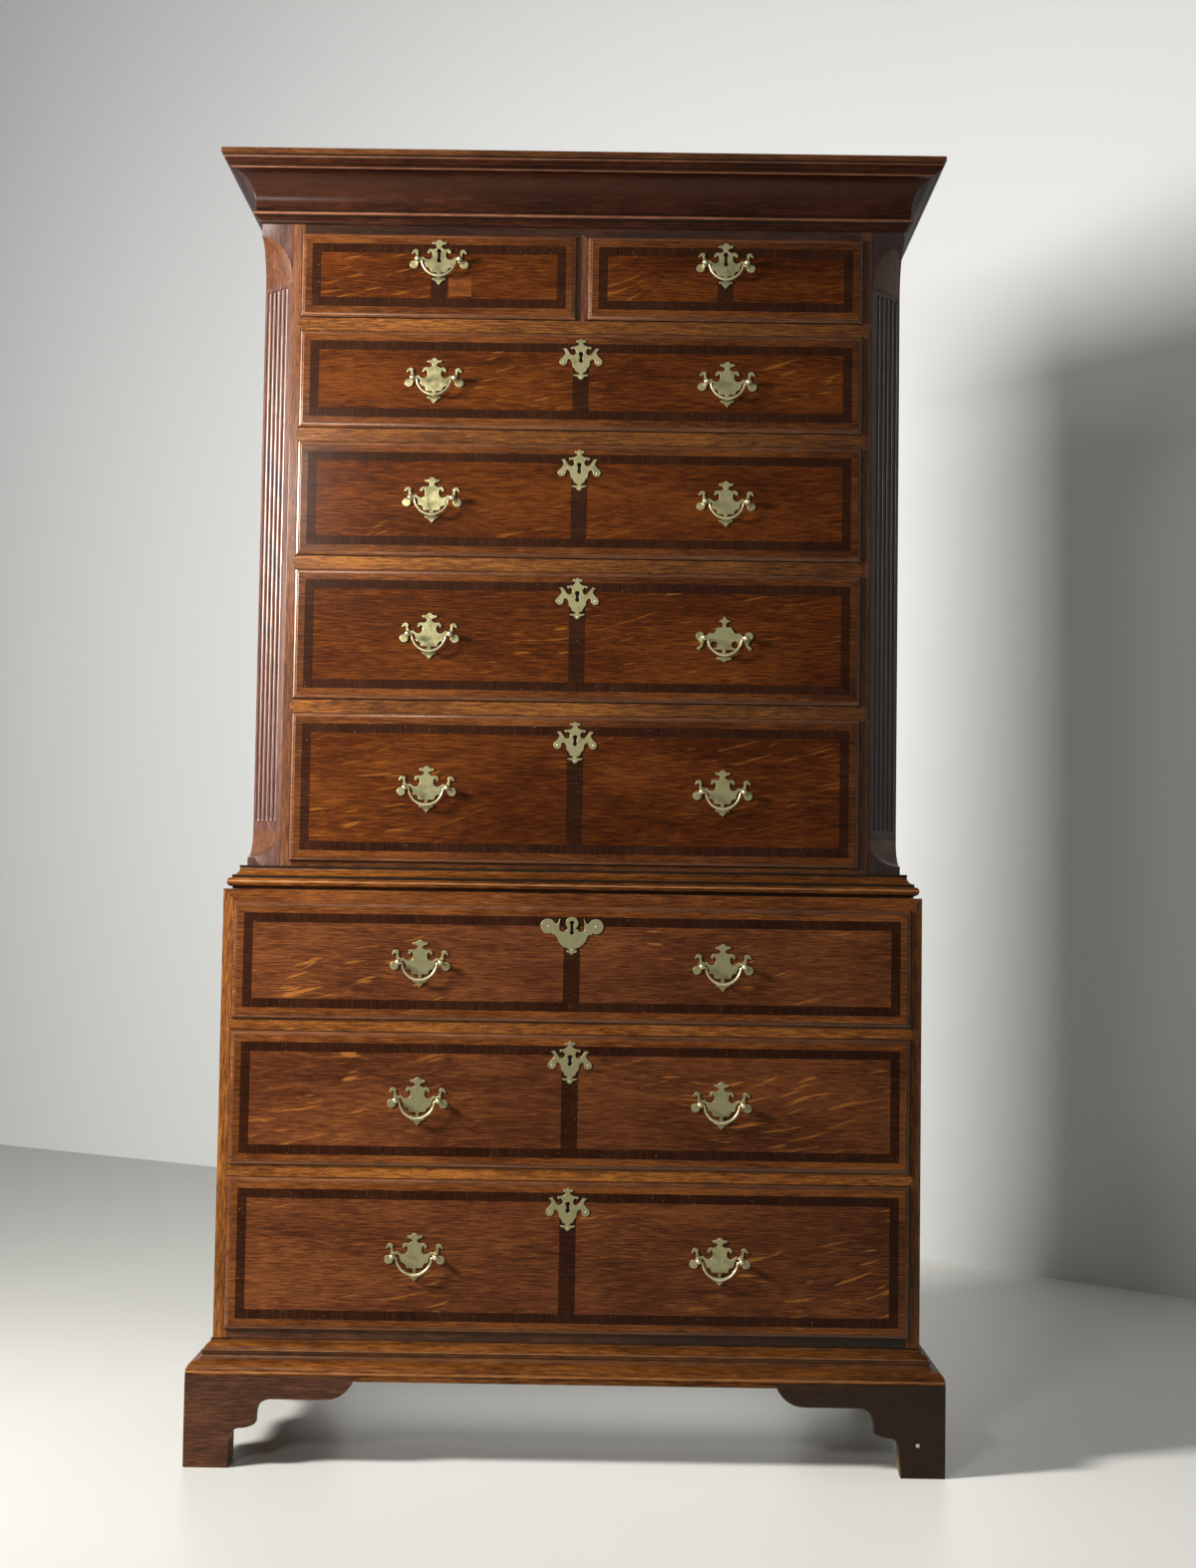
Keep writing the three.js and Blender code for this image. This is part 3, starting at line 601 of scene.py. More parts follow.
    def mixed(self, share: object, a: object, b: object, how: str = "MIX") -> NodeSocket:
        """Two colours mixed by a share.

        Args:
            share: How much of the second.
            a: The first colour.
            b: The second colour.
            how: The way they mix.

        Returns:
            The colour.
        """
        node = self.tree.nodes.new("ShaderNodeMix")
        node.data_type = "RGBA"
        node.blend_type = how
        factor, first, second = (node.inputs[i] for i in (0, 6, 7))
        self.feed(factor, share)
        self.feed(first, a)
        self.feed(second, b)
        return node.outputs[2]

    def parts(self) -> tuple[NodeSocket, NodeSocket, NodeSocket]:
        """X, Y and Z of the point.

        Returns:
            The three.
        """
        node = self.tree.nodes.new("ShaderNodeSeparateXYZ")
        self.feed(node.inputs[0], self.place)
        return tuple(node.outputs)

    def relief(self, height: NodeSocket, strength: float, depth: float) -> None:
        """Gives the surface a fine relief from a height between 0 and 1.

        Args:
            height: The height.
            strength: How much of it shows.
            depth: How deep it is, in metres.
        """
        node = self.tree.nodes.new("ShaderNodeBump")
        node.inputs["Strength"].default_value = strength
        node.inputs["Distance"].default_value = depth
        self.feed(node.inputs["Height"], height)
        self.feed(self.shader.inputs["Normal"], node.outputs[0])


# What all woods share: their patterns, and the shares, spans and colours that go with each
SEED_STEPS = (3.7, 1.9, 5.3)
SWAY, SWAY_REACH = Pattern(3, 7), 0.015
FIBRE, FIBRE_SHARE = Pattern(36, 600, 3, 0.65), 0.6
FIGURE = Pattern(7, 90, 2)
CLOUD, CLOUD_SPAN, CLOUD_SHARE = Pattern(4, 13, 3, 0.55), (0.3, 0.7), 0.25
PORE, PORE_SPAN, PORE_SHADE = Pattern(70, 900), (0.6, 0.72), 0.4
TONE_STOPS = (0.4, 0.5, 0.6)
SPECK_SCALE, SPECK_SPAN, SPECK_COLOUR = 380, (0.74, 0.78), (0.3, 0.2, 0.15)
JOINT_WIDTH, JOINT_SHARE, JOINT_LIFT, JOINT_STEP = 0.5 * MM, 0.3, 3, 0.37
# Painted reflection of the floor in the cornice's cove: its strength and colour
REFLECTION_SHARE, REFLECTION_COLOUR = 0.7, (0.031, 0.0125, 0.0075)
DRIFT_SCALE, DRIFT_SPAN = (3.2, 3.2, 5.5), (0.45, 0.6)
RAY_LEAN, RAY_CURL = math.radians(11), (0.05, 0.0, 0.1)
RAY_SCALE, RAY_DETAIL, RAY_SPAN = (17, 60, 210), 2, (0.62, 0.69)
# Painted shade: the span of X over which woods darken towards the right
PAINTED_FALLOFF_SPAN = (-0.5, 0.5)
GLOSS_SPREAD, WAX_ROUGHNESS = (0.05, 0.07), 0.16
FIBRE_RELIEF, FIBRE_DEPTH = 0.3, 0.3 * MM


@dataclass(frozen=True)
class Wood:
    """A waxed or bare wood: the colours of its grain and how strongly it shows."""

    name: str
    dark: Colour
    mid: Colour
    light: Colour
    flecks: float = 0.0
    fleck: Colour = (0.42, 0.17, 0.035)
    pores: float = 0.5
    wax: float = 0.35
    gloss: float = 0.42
    clouds: float = 0.6
    specks: float = 0.0
    joints: float = 0.0
    # Heights between which a painted reflection of the floor is laid on
    bloom: Point = (0.0, 0.0)
    # Painted shade: the colour's share at the left and at the right, standing in for the key light's falloff
    # across the chest
    fade: Point = (1.04, 0.69)
    sheen: float = 0.25
    amber: Colour = (1, 0.74, 0.5)

    def timber(self, recipe: Recipe, grain: Grain, seed: float) -> NodeSocket:
        """Colours the recipe as this wood and gives it its relief and gloss.

        Args:
            recipe: The material under construction.
            grain: The way the fibres run.
            seed: Which stretch of the tree it comes from.

        Returns:
            The colour, for a maker who adds to it.
        """
        start = tuple(seed * step for step in SEED_STEPS)
        bent = self.bent(recipe, grain, recipe.grained(recipe.place, grain, SWAY, start))
        fibre = recipe.grained(bent, grain, FIBRE, start)
        figure = recipe.grained(bent, grain, FIGURE, start)
        cloud = recipe.grained(recipe.place, grain, CLOUD, start)
        cloud_share = self.clouds * CLOUD_SHARE
        tone = recipe.maths("MULTIPLY", fibre, FIBRE_SHARE)
        tone = recipe.maths("ADD", tone, recipe.maths("MULTIPLY", figure, 1 - FIBRE_SHARE - cloud_share))
        tone = recipe.maths("ADD", tone, recipe.maths("MULTIPLY", cloud, cloud_share))
        colour = recipe.ramp(tone, tuple(zip(TONE_STOPS, (self.dark, self.mid, self.light))))
        pore = recipe.between(recipe.grained(bent, grain, PORE, start), *PORE_SPAN, 0, self.pores)
        colour = recipe.mixed(pore, colour, tuple(c * PORE_SHADE for c in self.dark))
        if self.flecks:
            colour = self.rays(recipe, colour, start)
        if self.specks:
            speck = recipe.noise(recipe.moved(recipe.place, (SPECK_SCALE,) * 3, start), 1)
            speck = recipe.between(speck, *SPECK_SPAN, 0, self.specks)
            colour = recipe.mixed(speck, colour, SPECK_COLOUR)
        if self.joints:
            colour = self.jointed(recipe, colour, grain, seed)
        # Painted reflection: a grey band between two heights
        if self.bloom[1]:
            colour = self.reflected(recipe, colour)
        # Painted shade: darker towards the right, where less of the key light falls
        if self.fade[0] != self.fade[1]:
            share = recipe.between(recipe.parts()[0], *PAINTED_FALLOFF_SPAN, *self.fade)
            colour = recipe.mixed(1.0, colour, share, "MULTIPLY")
        smoother, rougher = self.gloss - GLOSS_SPREAD[0], self.gloss + GLOSS_SPREAD[1]
        rough = recipe.between(cloud, *CLOUD_SPAN, smoother, rougher)
        recipe.shade(Base_Color=colour, Roughness=rough, Coat_Weight=self.wax,
                     Coat_Roughness=WAX_ROUGHNESS, Specular_IOR_Level=self.sheen, Specular_Tint=self.amber)
        recipe.relief(recipe.maths("SUBTRACT", fibre, pore), FIBRE_RELIEF, FIBRE_DEPTH)
        return colour

    def jointed(self, recipe: Recipe, colour: NodeSocket, grain: Grain, seed: float) -> NodeSocket:
        """Adds the fine pale joints between the short lengths that a crossband is laid in.

        Args:
            recipe: The material.
            colour: The wood's colour.
            grain: How the fibres run.
            seed: Which stretch of the tree it is.

        Returns:
            The colour with its joints.
        """
        axis = recipe.parts()[2 if grain is Grain.ACROSS else 0]
        place = recipe.maths("ADD", recipe.maths("DIVIDE", axis, self.joints), seed * JOINT_STEP)
        across = recipe.maths("FRACT", place)
        line = recipe.between(across, 0, JOINT_WIDTH / self.joints, JOINT_SHARE, 0)
        return recipe.mixed(line, colour, tuple(min(1.0, c * JOINT_LIFT) for c in self.light))

    def reflected(self, recipe: Recipe, colour: NodeSocket) -> NodeSocket:
        """Adds a painted reflection of the pale floor: a grey band between two heights, strongest halfway.

        Args:
            recipe: The material.
            colour: The wood's colour.

        Returns:
            The colour with its painted reflection.
        """
        low, high = self.bloom
        height, middle = recipe.parts()[2], (low + high) / 2
        rising = recipe.between(height, low, middle)
        falling = recipe.between(height, middle, high, 1, 0)
        share = recipe.maths("MULTIPLY", recipe.maths("MULTIPLY", rising, falling), REFLECTION_SHARE)
        return recipe.mixed(share, colour, REFLECTION_COLOUR)

    def bent(self, recipe: Recipe, grain: Grain, sway: NodeSocket) -> NodeSocket:
        """The point, swayed a little across the fibres so that they run in waves.

        Args:
            recipe: The material.
            grain: How the fibres run.
            sway: How far it sways, from 0 to 1.

        Returns:
            The swayed point.
        """
        node = recipe.tree.nodes.new("ShaderNodeVectorMath")
        node.operation = "MULTIPLY_ADD"
        recipe.feed(node.inputs[0], sway)
        node.inputs[1].default_value = grain.stretch(0, SWAY_REACH)
        recipe.feed(node.inputs[2], recipe.place)
        return node.outputs[0]

    def rays(self, recipe: Recipe, colour: NodeSocket, start: Place) -> NodeSocket:
        """Adds the golden flecks of quarter-sawn oak, in drifts that lean across the grain.

        Args:
            recipe: The material.
            colour: The wood's colour.
            start: Where in the tree it starts.

        Returns:
            The colour with its flecks.
        """
        drift = recipe.noise(recipe.moved(recipe.place, DRIFT_SCALE, start), 1)
        lean = recipe.moved(recipe.place, (1, 1, 1), start, (0, RAY_LEAN, 0))
        curl = recipe.tree.nodes.new("ShaderNodeVectorMath")
        curl.operation = "MULTIPLY_ADD"
        recipe.feed(curl.inputs[0], drift)
        curl.inputs[1].default_value = RAY_CURL
        recipe.feed(curl.inputs[2], lean)
        streak = recipe.noise(recipe.moved(curl.outputs[0], RAY_SCALE), RAY_DETAIL)
        streak = recipe.between(streak, *RAY_SPAN)
        in_drift = recipe.between(drift, *DRIFT_SPAN)
        share = recipe.maths("MULTIPLY", recipe.maths("MULTIPLY", streak, in_drift), self.flecks)
        return recipe.mixed(share, colour, self.fleck)

    def material(self, grain: Grain, seed: float = 0.0) -> Material:
        """A finished material for one way of the grain.

        Args:
            grain: How its fibres run.
            seed: Which stretch of the tree it is.

        Returns:
            The material.
        """
        recipe = Recipe(f"{self.name}_{grain.name.lower()}_{seed:g}")
        self.timber(recipe, grain, seed)
        return recipe.material


FIELD = Wood(
    "oak_field", (0.023, 0.0037, 0.0004), (0.057, 0.0112, 0.0013), (0.116, 0.029, 0.0035),
    flecks=0.44, fleck=(0.3, 0.1, 0.014), wax=0.05, clouds=1.25, sheen=0.15, amber=(1, 0.62, 0.34))
# The lower case's copies are lighter and shade less towards the right: painted light that differs between the
# two cases; the lower field's colours also hold a painted glare haze
LOW_FIELD = Wood(
    "lower_field", (0.035, 0.0088, 0.0034), (0.083, 0.0225, 0.0068), (0.156, 0.048, 0.0125),
    flecks=0.55, fleck=(0.4, 0.145, 0.026), wax=0.06, clouds=1.2, sheen=0.17, amber=(1, 0.64, 0.36))
MARGIN = Wood(
    "oak_margin", (0.031, 0.0064, 0.0008), (0.077, 0.0192, 0.0028), (0.145, 0.042, 0.007),
    wax=0.1, clouds=1.7, sheen=0.17, fade=(1.06, 0.64))
SIDE_MARGIN = Wood(
    "short_margin", (0.022, 0.0052, 0.001), (0.058, 0.0146, 0.0028), (0.115, 0.034, 0.0066),
    wax=0.1, clouds=1.7, joints=25 * MM, sheen=0.17, fade=(1.06, 0.64))
LOW_MARGIN = Wood(
    "lower_margin", (0.041, 0.0092, 0.0014), (0.1, 0.0272, 0.0046), (0.178, 0.056, 0.0104),
    wax=0.1, clouds=1.4, sheen=0.18, fade=(1.1, 0.86))
LOW_SIDE_MARGIN = Wood(
    "lower_short_margin", (0.032, 0.0076, 0.0013), (0.079, 0.0215, 0.0038), (0.145, 0.045, 0.0086),
    wax=0.1, clouds=1.4, joints=25 * MM, sheen=0.18, fade=(1.1, 0.86))
PATCH = Wood(
    "repair_patch", (0.062, 0.013, 0.0012), (0.11, 0.026, 0.003), (0.16, 0.046, 0.006), wax=0.05)
BAND = Wood(
    "crossband", (0.0105, 0.0021, 0.0005), (0.0185, 0.0041, 0.001), (0.032, 0.0084, 0.0021),
    specks=0.5, clouds=0.9, wax=0.06, joints=83 * MM, sheen=0.13, amber=(1, 0.66, 0.45))
STOP = Wood(
    "scooped_stop", (0.038, 0.012, 0.005), (0.072, 0.024, 0.0095), (0.115, 0.042, 0.018),
    wax=0.4, gloss=0.3)
RAIL = Wood(
    "oak_rail", (0.045, 0.0118, 0.0018), (0.13, 0.0385, 0.006), (0.265, 0.092, 0.015),
    pores=0.8, clouds=1.2, specks=0.6, wax=0.1, fade=(1.04, 0.42))
# The lower rail is a lighter copy with less painted shade towards the right
LOW_RAIL = Wood(
    "lower_rail", (0.055, 0.0145, 0.002), (0.152, 0.0455, 0.0068), (0.295, 0.103, 0.016),
    pores=0.8, clouds=1.2, specks=0.6, wax=0.1, fade=(1.08, 0.88))
CASE = Wood(
    "oak_case", (0.028, 0.007, 0.0012), (0.066, 0.0183, 0.0034), (0.125, 0.039, 0.008),
    flecks=0.14, wax=0.12, clouds=1.2, sheen=0.2)
MOULDING = Wood(
    "moulding", (0.028, 0.0068, 0.001), (0.1, 0.029, 0.0042), (0.2, 0.066, 0.01),
    clouds=1.1, wax=0.1, sheen=0.16, amber=(1, 0.64, 0.38), fade=(1.06, 0.6))
# Wear on the mouldings' arrises, lighter also as a painted highlight where the key light catches them
EDGE_WEAR_AND_HIGHLIGHT = Wood(
    "rubbed_edge", (0.16, 0.058, 0.018), (0.24, 0.096, 0.032), (0.34, 0.15, 0.055), pores=0.3, wax=0.1)
# The cornice crown's wood, also laid as painted shade in the base moulding's hollow
CROWN_AND_HOLLOW_SHADE = Wood("cornice_crown", (0.03, 0.0078, 0.0018), (0.075, 0.022, 0.0045), (0.13, 0.044, 0.0095), wax=0.15)
# Wear on the cornice's beads, lighter also as a painted highlight along them
BEAD_WEAR_AND_HIGHLIGHT = Wood(
    "rubbed_bead", (0.09, 0.03, 0.014), (0.15, 0.055, 0.027), (0.22, 0.09, 0.048), pores=0.3, wax=0.15)
MAHOGANY = Wood(
    "dark_mahogany", (0.007, 0.0018, 0.0008), (0.019, 0.005, 0.0022), (0.042, 0.0125, 0.0055),
    pores=0.35, wax=0.4, gloss=0.3)
# The cove carries a band of painted reflection between the heights it gives
COVE = Wood(
    "cornice_cove", (0.006, 0.0014, 0.0006), (0.02, 0.0044, 0.0017), (0.044, 0.0115, 0.0046),
    pores=0.35, wax=0.1, gloss=0.4, bloom=(1.847, 1.89), sheen=0.15, amber=(1, 0.58, 0.36))
STRIP = Wood(
    "stile_strip", (0.046, 0.0155, 0.0066), (0.095, 0.034, 0.0145), (0.155, 0.059, 0.027),
    pores=0.4, wax=0.15, gloss=0.37, amber=(1, 0.7, 0.5), fade=(1.2, 0.42))
# The column and the foot lose most towards the right: the right ones are painted dark as if in shade
COLUMN = Wood(
    "column", (0.028, 0.0105, 0.0068), (0.058, 0.0225, 0.0145), (0.1, 0.041, 0.026),
    pores=0.35, wax=0.22, gloss=0.34, sheen=0.34, amber=(1, 0.86, 0.78), fade=(1.14, 0.22))
FOOT = Wood(
    "oak_foot", (0.012, 0.0036, 0.0016), (0.032, 0.0102, 0.0042), (0.068, 0.024, 0.01),
    clouds=1.0, wax=0.15, fade=(1.5, 0.2))
LINING = Wood(
    "oak_lining", (0.15, 0.085, 0.036), (0.24, 0.145, 0.065), (0.32, 0.2, 0.1),
    wax=0.0, gloss=0.7, fade=(1, 1))
BACKS = Wood(
    "old_backs", (0.08, 0.045, 0.022), (0.15, 0.092, 0.05), (0.21, 0.14, 0.08),
    wax=0.0, gloss=0.8, clouds=1.0, fade=(1, 1))
# Wear on the drawers' lips, lighter also as a painted highlight on the ovolo that faces the key light
WORN_ARRIS_AND_HIGHLIGHT = Wood(
    "worn_arris", (0.05, 0.0145, 0.0036), (0.09, 0.028, 0.008), (0.15, 0.052, 0.017),
    pores=0.2, wax=0.28, gloss=0.29, sheen=0.38, amber=(1, 0.8, 0.62), fade=(1.2, 0.6))
# Grime, and painted shade in the gaps, grooves and undercuts where shade falls
GRIME_AND_SHADE = Wood("dark_groove", (0.003, 0.0015, 0.0008), (0.006, 0.003, 0.0015), (0.01, 0.0045, 0.002), wax=0.05)


@dataclass(frozen=True)
class Brass:
    """Cast brass with a dull patina: brighter where hands have worn it."""

    name: str
    clean: Colour = (0.42, 0.375, 0.19)
    patina: Colour = (0.195, 0.178, 0.085)
    wear: float = 0.5
    gloss: float = 0.36
    metal: float = 0.9
    stain: Pattern = Pattern(70, 70, 4, 0.6)
    pits: Pattern = Pattern(900, 900, 2)
    rough_span: Point = (0.35, 0.65)
    rough_spread: Point = (0.06, 0.12)
    relief: Point = (0.25, 0.2 * MM)

    def material(self) -> Material:
        """The finished material.

        Returns:
            The material.
        """
        recipe = Recipe(self.name)
        start = (0, 0, 0)
        stain = recipe.grained(recipe.place, Grain.UPRIGHT, self.stain, start)
        share = recipe.between(stain, 0.5 - self.wear / 3, 0.5 + self.wear / 2)
        colour = recipe.mixed(share, self.clean, self.patina)
        smoother, rougher = self.gloss - self.rough_spread[0], self.gloss + self.rough_spread[1]
        rough = recipe.between(stain, *self.rough_span, smoother, rougher)
        recipe.shade(Base_Color=colour, Roughness=rough, Metallic=self.metal)
        recipe.relief(recipe.grained(recipe.place, Grain.UPRIGHT, self.pits, start), *self.relief)
        return recipe.material


FACE_BRASS = Brass("brass_face")
RIM_BRASS = Brass("brass_rim", clean=(0.64, 0.575, 0.35), patina=(0.35, 0.315, 0.165), gloss=0.31)
DARK_IRON = Brass("lock_iron", clean=(0.12, 0.1, 0.08), patina=(0.05, 0.04, 0.035), gloss=0.5)
PALE_NAIL = Brass("pale_nail", clean=(0.6, 0.55, 0.5), patina=(0.45, 0.4, 0.36), gloss=0.5)


@dataclass
class Palette:
    """Materials made once and shared by pieces with the same finish."""

    made: dict[str, Material] = field(default_factory=dict)

    def wood(self, wood: Wood, grain: Grain, seed: float = 0.0) -> Material:
        """A wood in one way of the grain.

        Args:
            wood: The wood.
            grain: How its fibres run.
            seed: Which stretch of the tree it is.

        Returns:
            The material.
        """
        key = f"{wood.name}{grain.name}{seed}"
        if key not in self.made:
            self.made[key] = wood.material(grain, seed)
        return self.made[key]

    def brass(self, brass: Brass) -> Material:
        """A brass or iron finish.

        Args:
            brass: The finish.

        Returns:
            The material.
        """
        if brass.name not in self.made:
            self.made[brass.name] = brass.material()
        return self.made[brass.name]


PALETTE = Palette()


def dressed(piece: Object, *materials: Material) -> Object:
    """Gives a piece its materials in place of any it has.

    Args:
        piece: The piece.
        materials: Its materials, in the order of its slots.

    Returns:
        The same piece.
    """
    piece.data.materials.clear()
    for material in materials:
        piece.data.materials.append(material)
    return piece


def assigned(piece: Object, choose: Callable[[Vector, Vector], int]) -> None:
    """Gives each face the material slot that a rule chooses from its middle and normal."""
    for face in piece.data.polygons:
        face.material_index = choose(face.center, face.normal)


# Mouldings


class Form(Enum):
    """The forms that a moulding's members take."""

    FILLET = "fillet"
    RISE_FIRST = "rises, then moves"
    OUT_FIRST = "moves, then rises"
    BEAD = "bead"


@dataclass(frozen=True)
class Run:
    """A moulding that goes round the front and both sides, in three mitred lengths."""

    name: str
    out: float
    rise: float
    members: tuple[tuple[Form, float, float], ...]
    inner: float
    steps: int = 8
    arris: float = 0.6 * MM
    arris_angle: float = 35
    # Bands of other woods between heights in millimetres: grime and painted shade in undercuts, wear and
    # painted highlights on arrises
    zones: tuple[tuple[Wood, float, float], ...] = ()

    def profile(self, bottom: float) -> list[Point]:
        """How far the moulding stands out at each height.

        Args:
            bottom: Its lowest height.

        Returns:
            Points of reach and height, from the bottom up.
        """
        whole = sum(share for _, _, share in self.members)
        points: list[Point] = []
        out, z = 0.0, bottom
        for form, out_share, rise_share in self.members:
            move, rise = self.out * out_share, self.rise * rise_share / whole
            if form is Form.FILLET:
                out += move
                points += [(out, z), (out, z + rise)]
            else:
                shares = [i / self.steps for i in range(1, self.steps + 1)]
                points += [self.bend(form, out, z, move, rise, share) for share in shares]
                out += 0.0 if form is Form.BEAD else move
            z += rise
        apart = HAIR / 10
        return [p for i, p in enumerate(points) if i == 0 or math.dist(p, points[i - 1]) > apart]

    @staticmethod
    def bend(form: Form, out: float, z: float, move: float, rise: float, share: float) -> Point:
        """A point on a curved member.

        Args:
            form: The member.
            out: How far out it starts.
            z: How high it starts.
            move: How far it goes out.
            rise: How far it goes up.
            share: How far along it the point is.

        Returns:
            The point.
        """
        angle = share * math.pi / 2
        if form is Form.RISE_FIRST:
            return out + move * (1 - math.cos(angle)), z + rise * math.sin(angle)
        if form is Form.OUT_FIRST:
            return out + move * math.sin(angle), z + rise * (1 - math.cos(angle))
        return out + move * math.sin(2 * angle), z + rise * math.sin(angle) ** 2

    def lengths(self, bottom: float, half: float, front: float, back: float) -> list[Object]:
        """The front length and the two returns, mitred at the corners.

        Args:
            bottom: Height of the moulding's foot.
            half: Half the width of the case that it goes round.
            front: Y of the case's front.
            back: Y of the back.

        Returns:
            Front, left and right length.
        """
        outline = [(self.inner, bottom), *self.profile(bottom), (self.inner, bottom + self.rise)]
        reach = half + self.out + OVERRUN
        across = sawn(f"{self.name}_front", [outline], 2 * reach, 0, placed(FRONT, UP, (0, front, 0)))
        halve(across, (half, front, 0), (1, 1, 0))
        halve(across, (-half, front, 0), (-1, 1, 0))
        deep = back - front + 2 * (self.out + OVERRUN)
        middle = (front + back) / 2
        right = sawn(f"{self.name}_right", [outline], deep, 0, placed(RIGHT, UP, (half, middle, 0)))
        halve(right, (half, front, 0), (-1, -1, 0))
        halve(right, (0, back, 0), (0, 1, 0))
        for piece in (across, right):
            soften(piece, self.arris, 1, self.arris_angle)
        return [across, mirrored(right, f"{self.name}_left"), right]


# The zones below paint shade into the undercuts and the base's hollow, and highlights onto the arrises
BASE_RUN = Run("base_moulding", 33 * MM, 45.5 * MM, (
    (Form.FILLET, 1, 0.053), (Form.RISE_FIRST, -0.364, 0.321), (Form.OUT_FIRST, -0.258, 0.211),
    (Form.FILLET, 0.045, 0.068), (Form.FILLET, -0.091, 0.013), (Form.RISE_FIRST, -0.242, 0.191),
    (Form.FILLET, -0.015, 0.143),
), inner=-52 * MM, zones=(
    (EDGE_WEAR_AND_HIGHLIGHT, 2.3, 4.4), (CROWN_AND_HOLLOW_SHADE, 17.5, 28.7), (GRIME_AND_SHADE, 28.7, 30.6), (EDGE_WEAR_AND_HIGHLIGHT, 30.6, 32.6), (GRIME_AND_SHADE, 44.6, 45.6),
))
WAIST_RUN = Run("waist_moulding", 25.5 * MM, 34.3 * MM, (
    (Form.FILLET, 0.706, 0.09), (Form.FILLET, 0.098, 0.018), (Form.BEAD, 0.196, 0.356),
    (Form.FILLET, -0.059, 0.125), (Form.OUT_FIRST, -0.392, 0.303), (Form.FILLET, 0.02, 0.108),
), inner=HAIR, zones=(
    (GRIME_AND_SHADE, -0.1, 1.7), (EDGE_WEAR_AND_HIGHLIGHT, 9.4, 11.2), (GRIME_AND_SHADE, 15.8, 18.2), (EDGE_WEAR_AND_HIGHLIGHT, 18.2, 20), (GRIME_AND_SHADE, 32, 34.4),
))
CORNICE_RUN = Run("cornice", 54.5 * MM, 97.8 * MM, (
    (Form.FILLET, 0.064, 0.014), (Form.RISE_FIRST, 0.083, 0.083), (Form.FILLET, 0.018, 0.013),
    (Form.BEAD, 0.062, 0.07), (Form.FILLET, -0.018, 0.024), (Form.FILLET, 0.018, 0.068),
    (Form.RISE_FIRST, 0.55, 0.46), (Form.FILLET, 0.037, 0.023), (Form.RISE_FIRST, 0.055, 0.037),
    (Form.OUT_FIRST, 0.119, 0.106), (Form.FILLET, 0.018, 0.024), (Form.FILLET, 0.056, 0.078),
), inner=HAIR, steps=14, zones=(
    (GRIME_AND_SHADE, 9.2, 10.9), (BEAD_WEAR_AND_HIGHLIGHT, 12.2, 15.4), (GRIME_AND_SHADE, 17.4, 18.9), (BEAD_WEAR_AND_HIGHLIGHT, 72.1, 74.2), (GRIME_AND_SHADE, 74.2, 75.4),
    (BEAD_WEAR_AND_HIGHLIGHT, 85.6, 87.1), (GRIME_AND_SHADE, 87.1, 89.4), (CROWN_AND_HOLLOW_SHADE, 89.4, 98),
))


# Places that more than one sub-assembly needs


@dataclass(frozen=True)
class Case:
    """One carcase: its outer box, and how far a drawer's lip covers the frame round it."""

    half: float
    front: float
    back: float
    low: float
    high: float
    cover: float = 4 * MM


def case_of(side: str, frame_node: str) -> Case:
    """The places of a carcase, read from its right side board and its face frame.

    Args:
        side: The right side board's node.
        frame_node: The face frame's node.

    Returns:
        The carcase's places.
    """
    low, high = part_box(side)
    face_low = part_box(frame_node)[0]
    return Case(half=high[0], front=face_low[1], back=high[1], low=low[2], high=high[2])


LOWER = case_of("lower_right_side", "lower_face_frame")
UPPER = case_of("upper_right_side", "upper_face_frame")
UNPATCHED = (0.0, 0.0, 0.0, 0.0)
PATCHES = {"drawer_1_left": (-0.199, 1.706, -0.165, 1.737), "drawer_6": (-0.385, 0.7871, -0.3, 0.7912)}
TALL_KEY, LOW_KEY = (20.5 * MM, 8 * MM), (16 * MM, 3 * MM)
ROUND_LOCK_DRAWER, ODD_PLATE_NODE = "drawer_6", "drawer_4_right_plate"
UPPER_DRAWERS = (("drawer_1_left", 1.0), ("drawer_1_right", 2.0), ("drawer_2", 3.0), ("drawer_3", 4.0),
                 ("drawer_4", 5.0), ("drawer_5", 6.0))
LOWER_DRAWERS = (("drawer_6", 7.0), ("drawer_7", 8.0), ("drawer_8", 9.0))


# Studio


@dataclass(frozen=True)
class Lamp:
    """A soft lamp: where it hangs, what it looks at, and its size, power and tint."""

    name: str
    place: Place
    target: Place
    size: Point
    watts: float
    tint: Colour

    def hang(self) -> None:
        """Hangs the lamp in the room."""
        bpy.ops.object.light_add(type="AREA", location=self.place)
        lamp = bpy.context.active_object
        lamp.name = self.name
        lamp.rotation_euler = (Vector(self.target) - Vector(self.place)).to_track_quat("-Z", "Y").to_euler()
        lamp.data.shape = "RECTANGLE"
        lamp.data.size, lamp.data.size_y = self.size
        lamp.data.energy = self.watts
        lamp.data.color = self.tint


LAMPS = (
    Lamp("softbox", (-1.95, -1.1, 1.66), (0, 0.9, 1.1), (0.5, 0.32), 150, (1, 0.99, 0.97)),
    Lamp("front_lamp", (-0.95, -3.1, 1.95), (0.1, -0.4, 0.5), (0.35, 0.35), 18, (1, 0.98, 0.94)),
    Lamp("low_fill", (0, 0.11, 0.112), (0, 0.1089, -0.88912), (0.72, 0.26), 0.28, (1, 0.99, 0.97)),
)


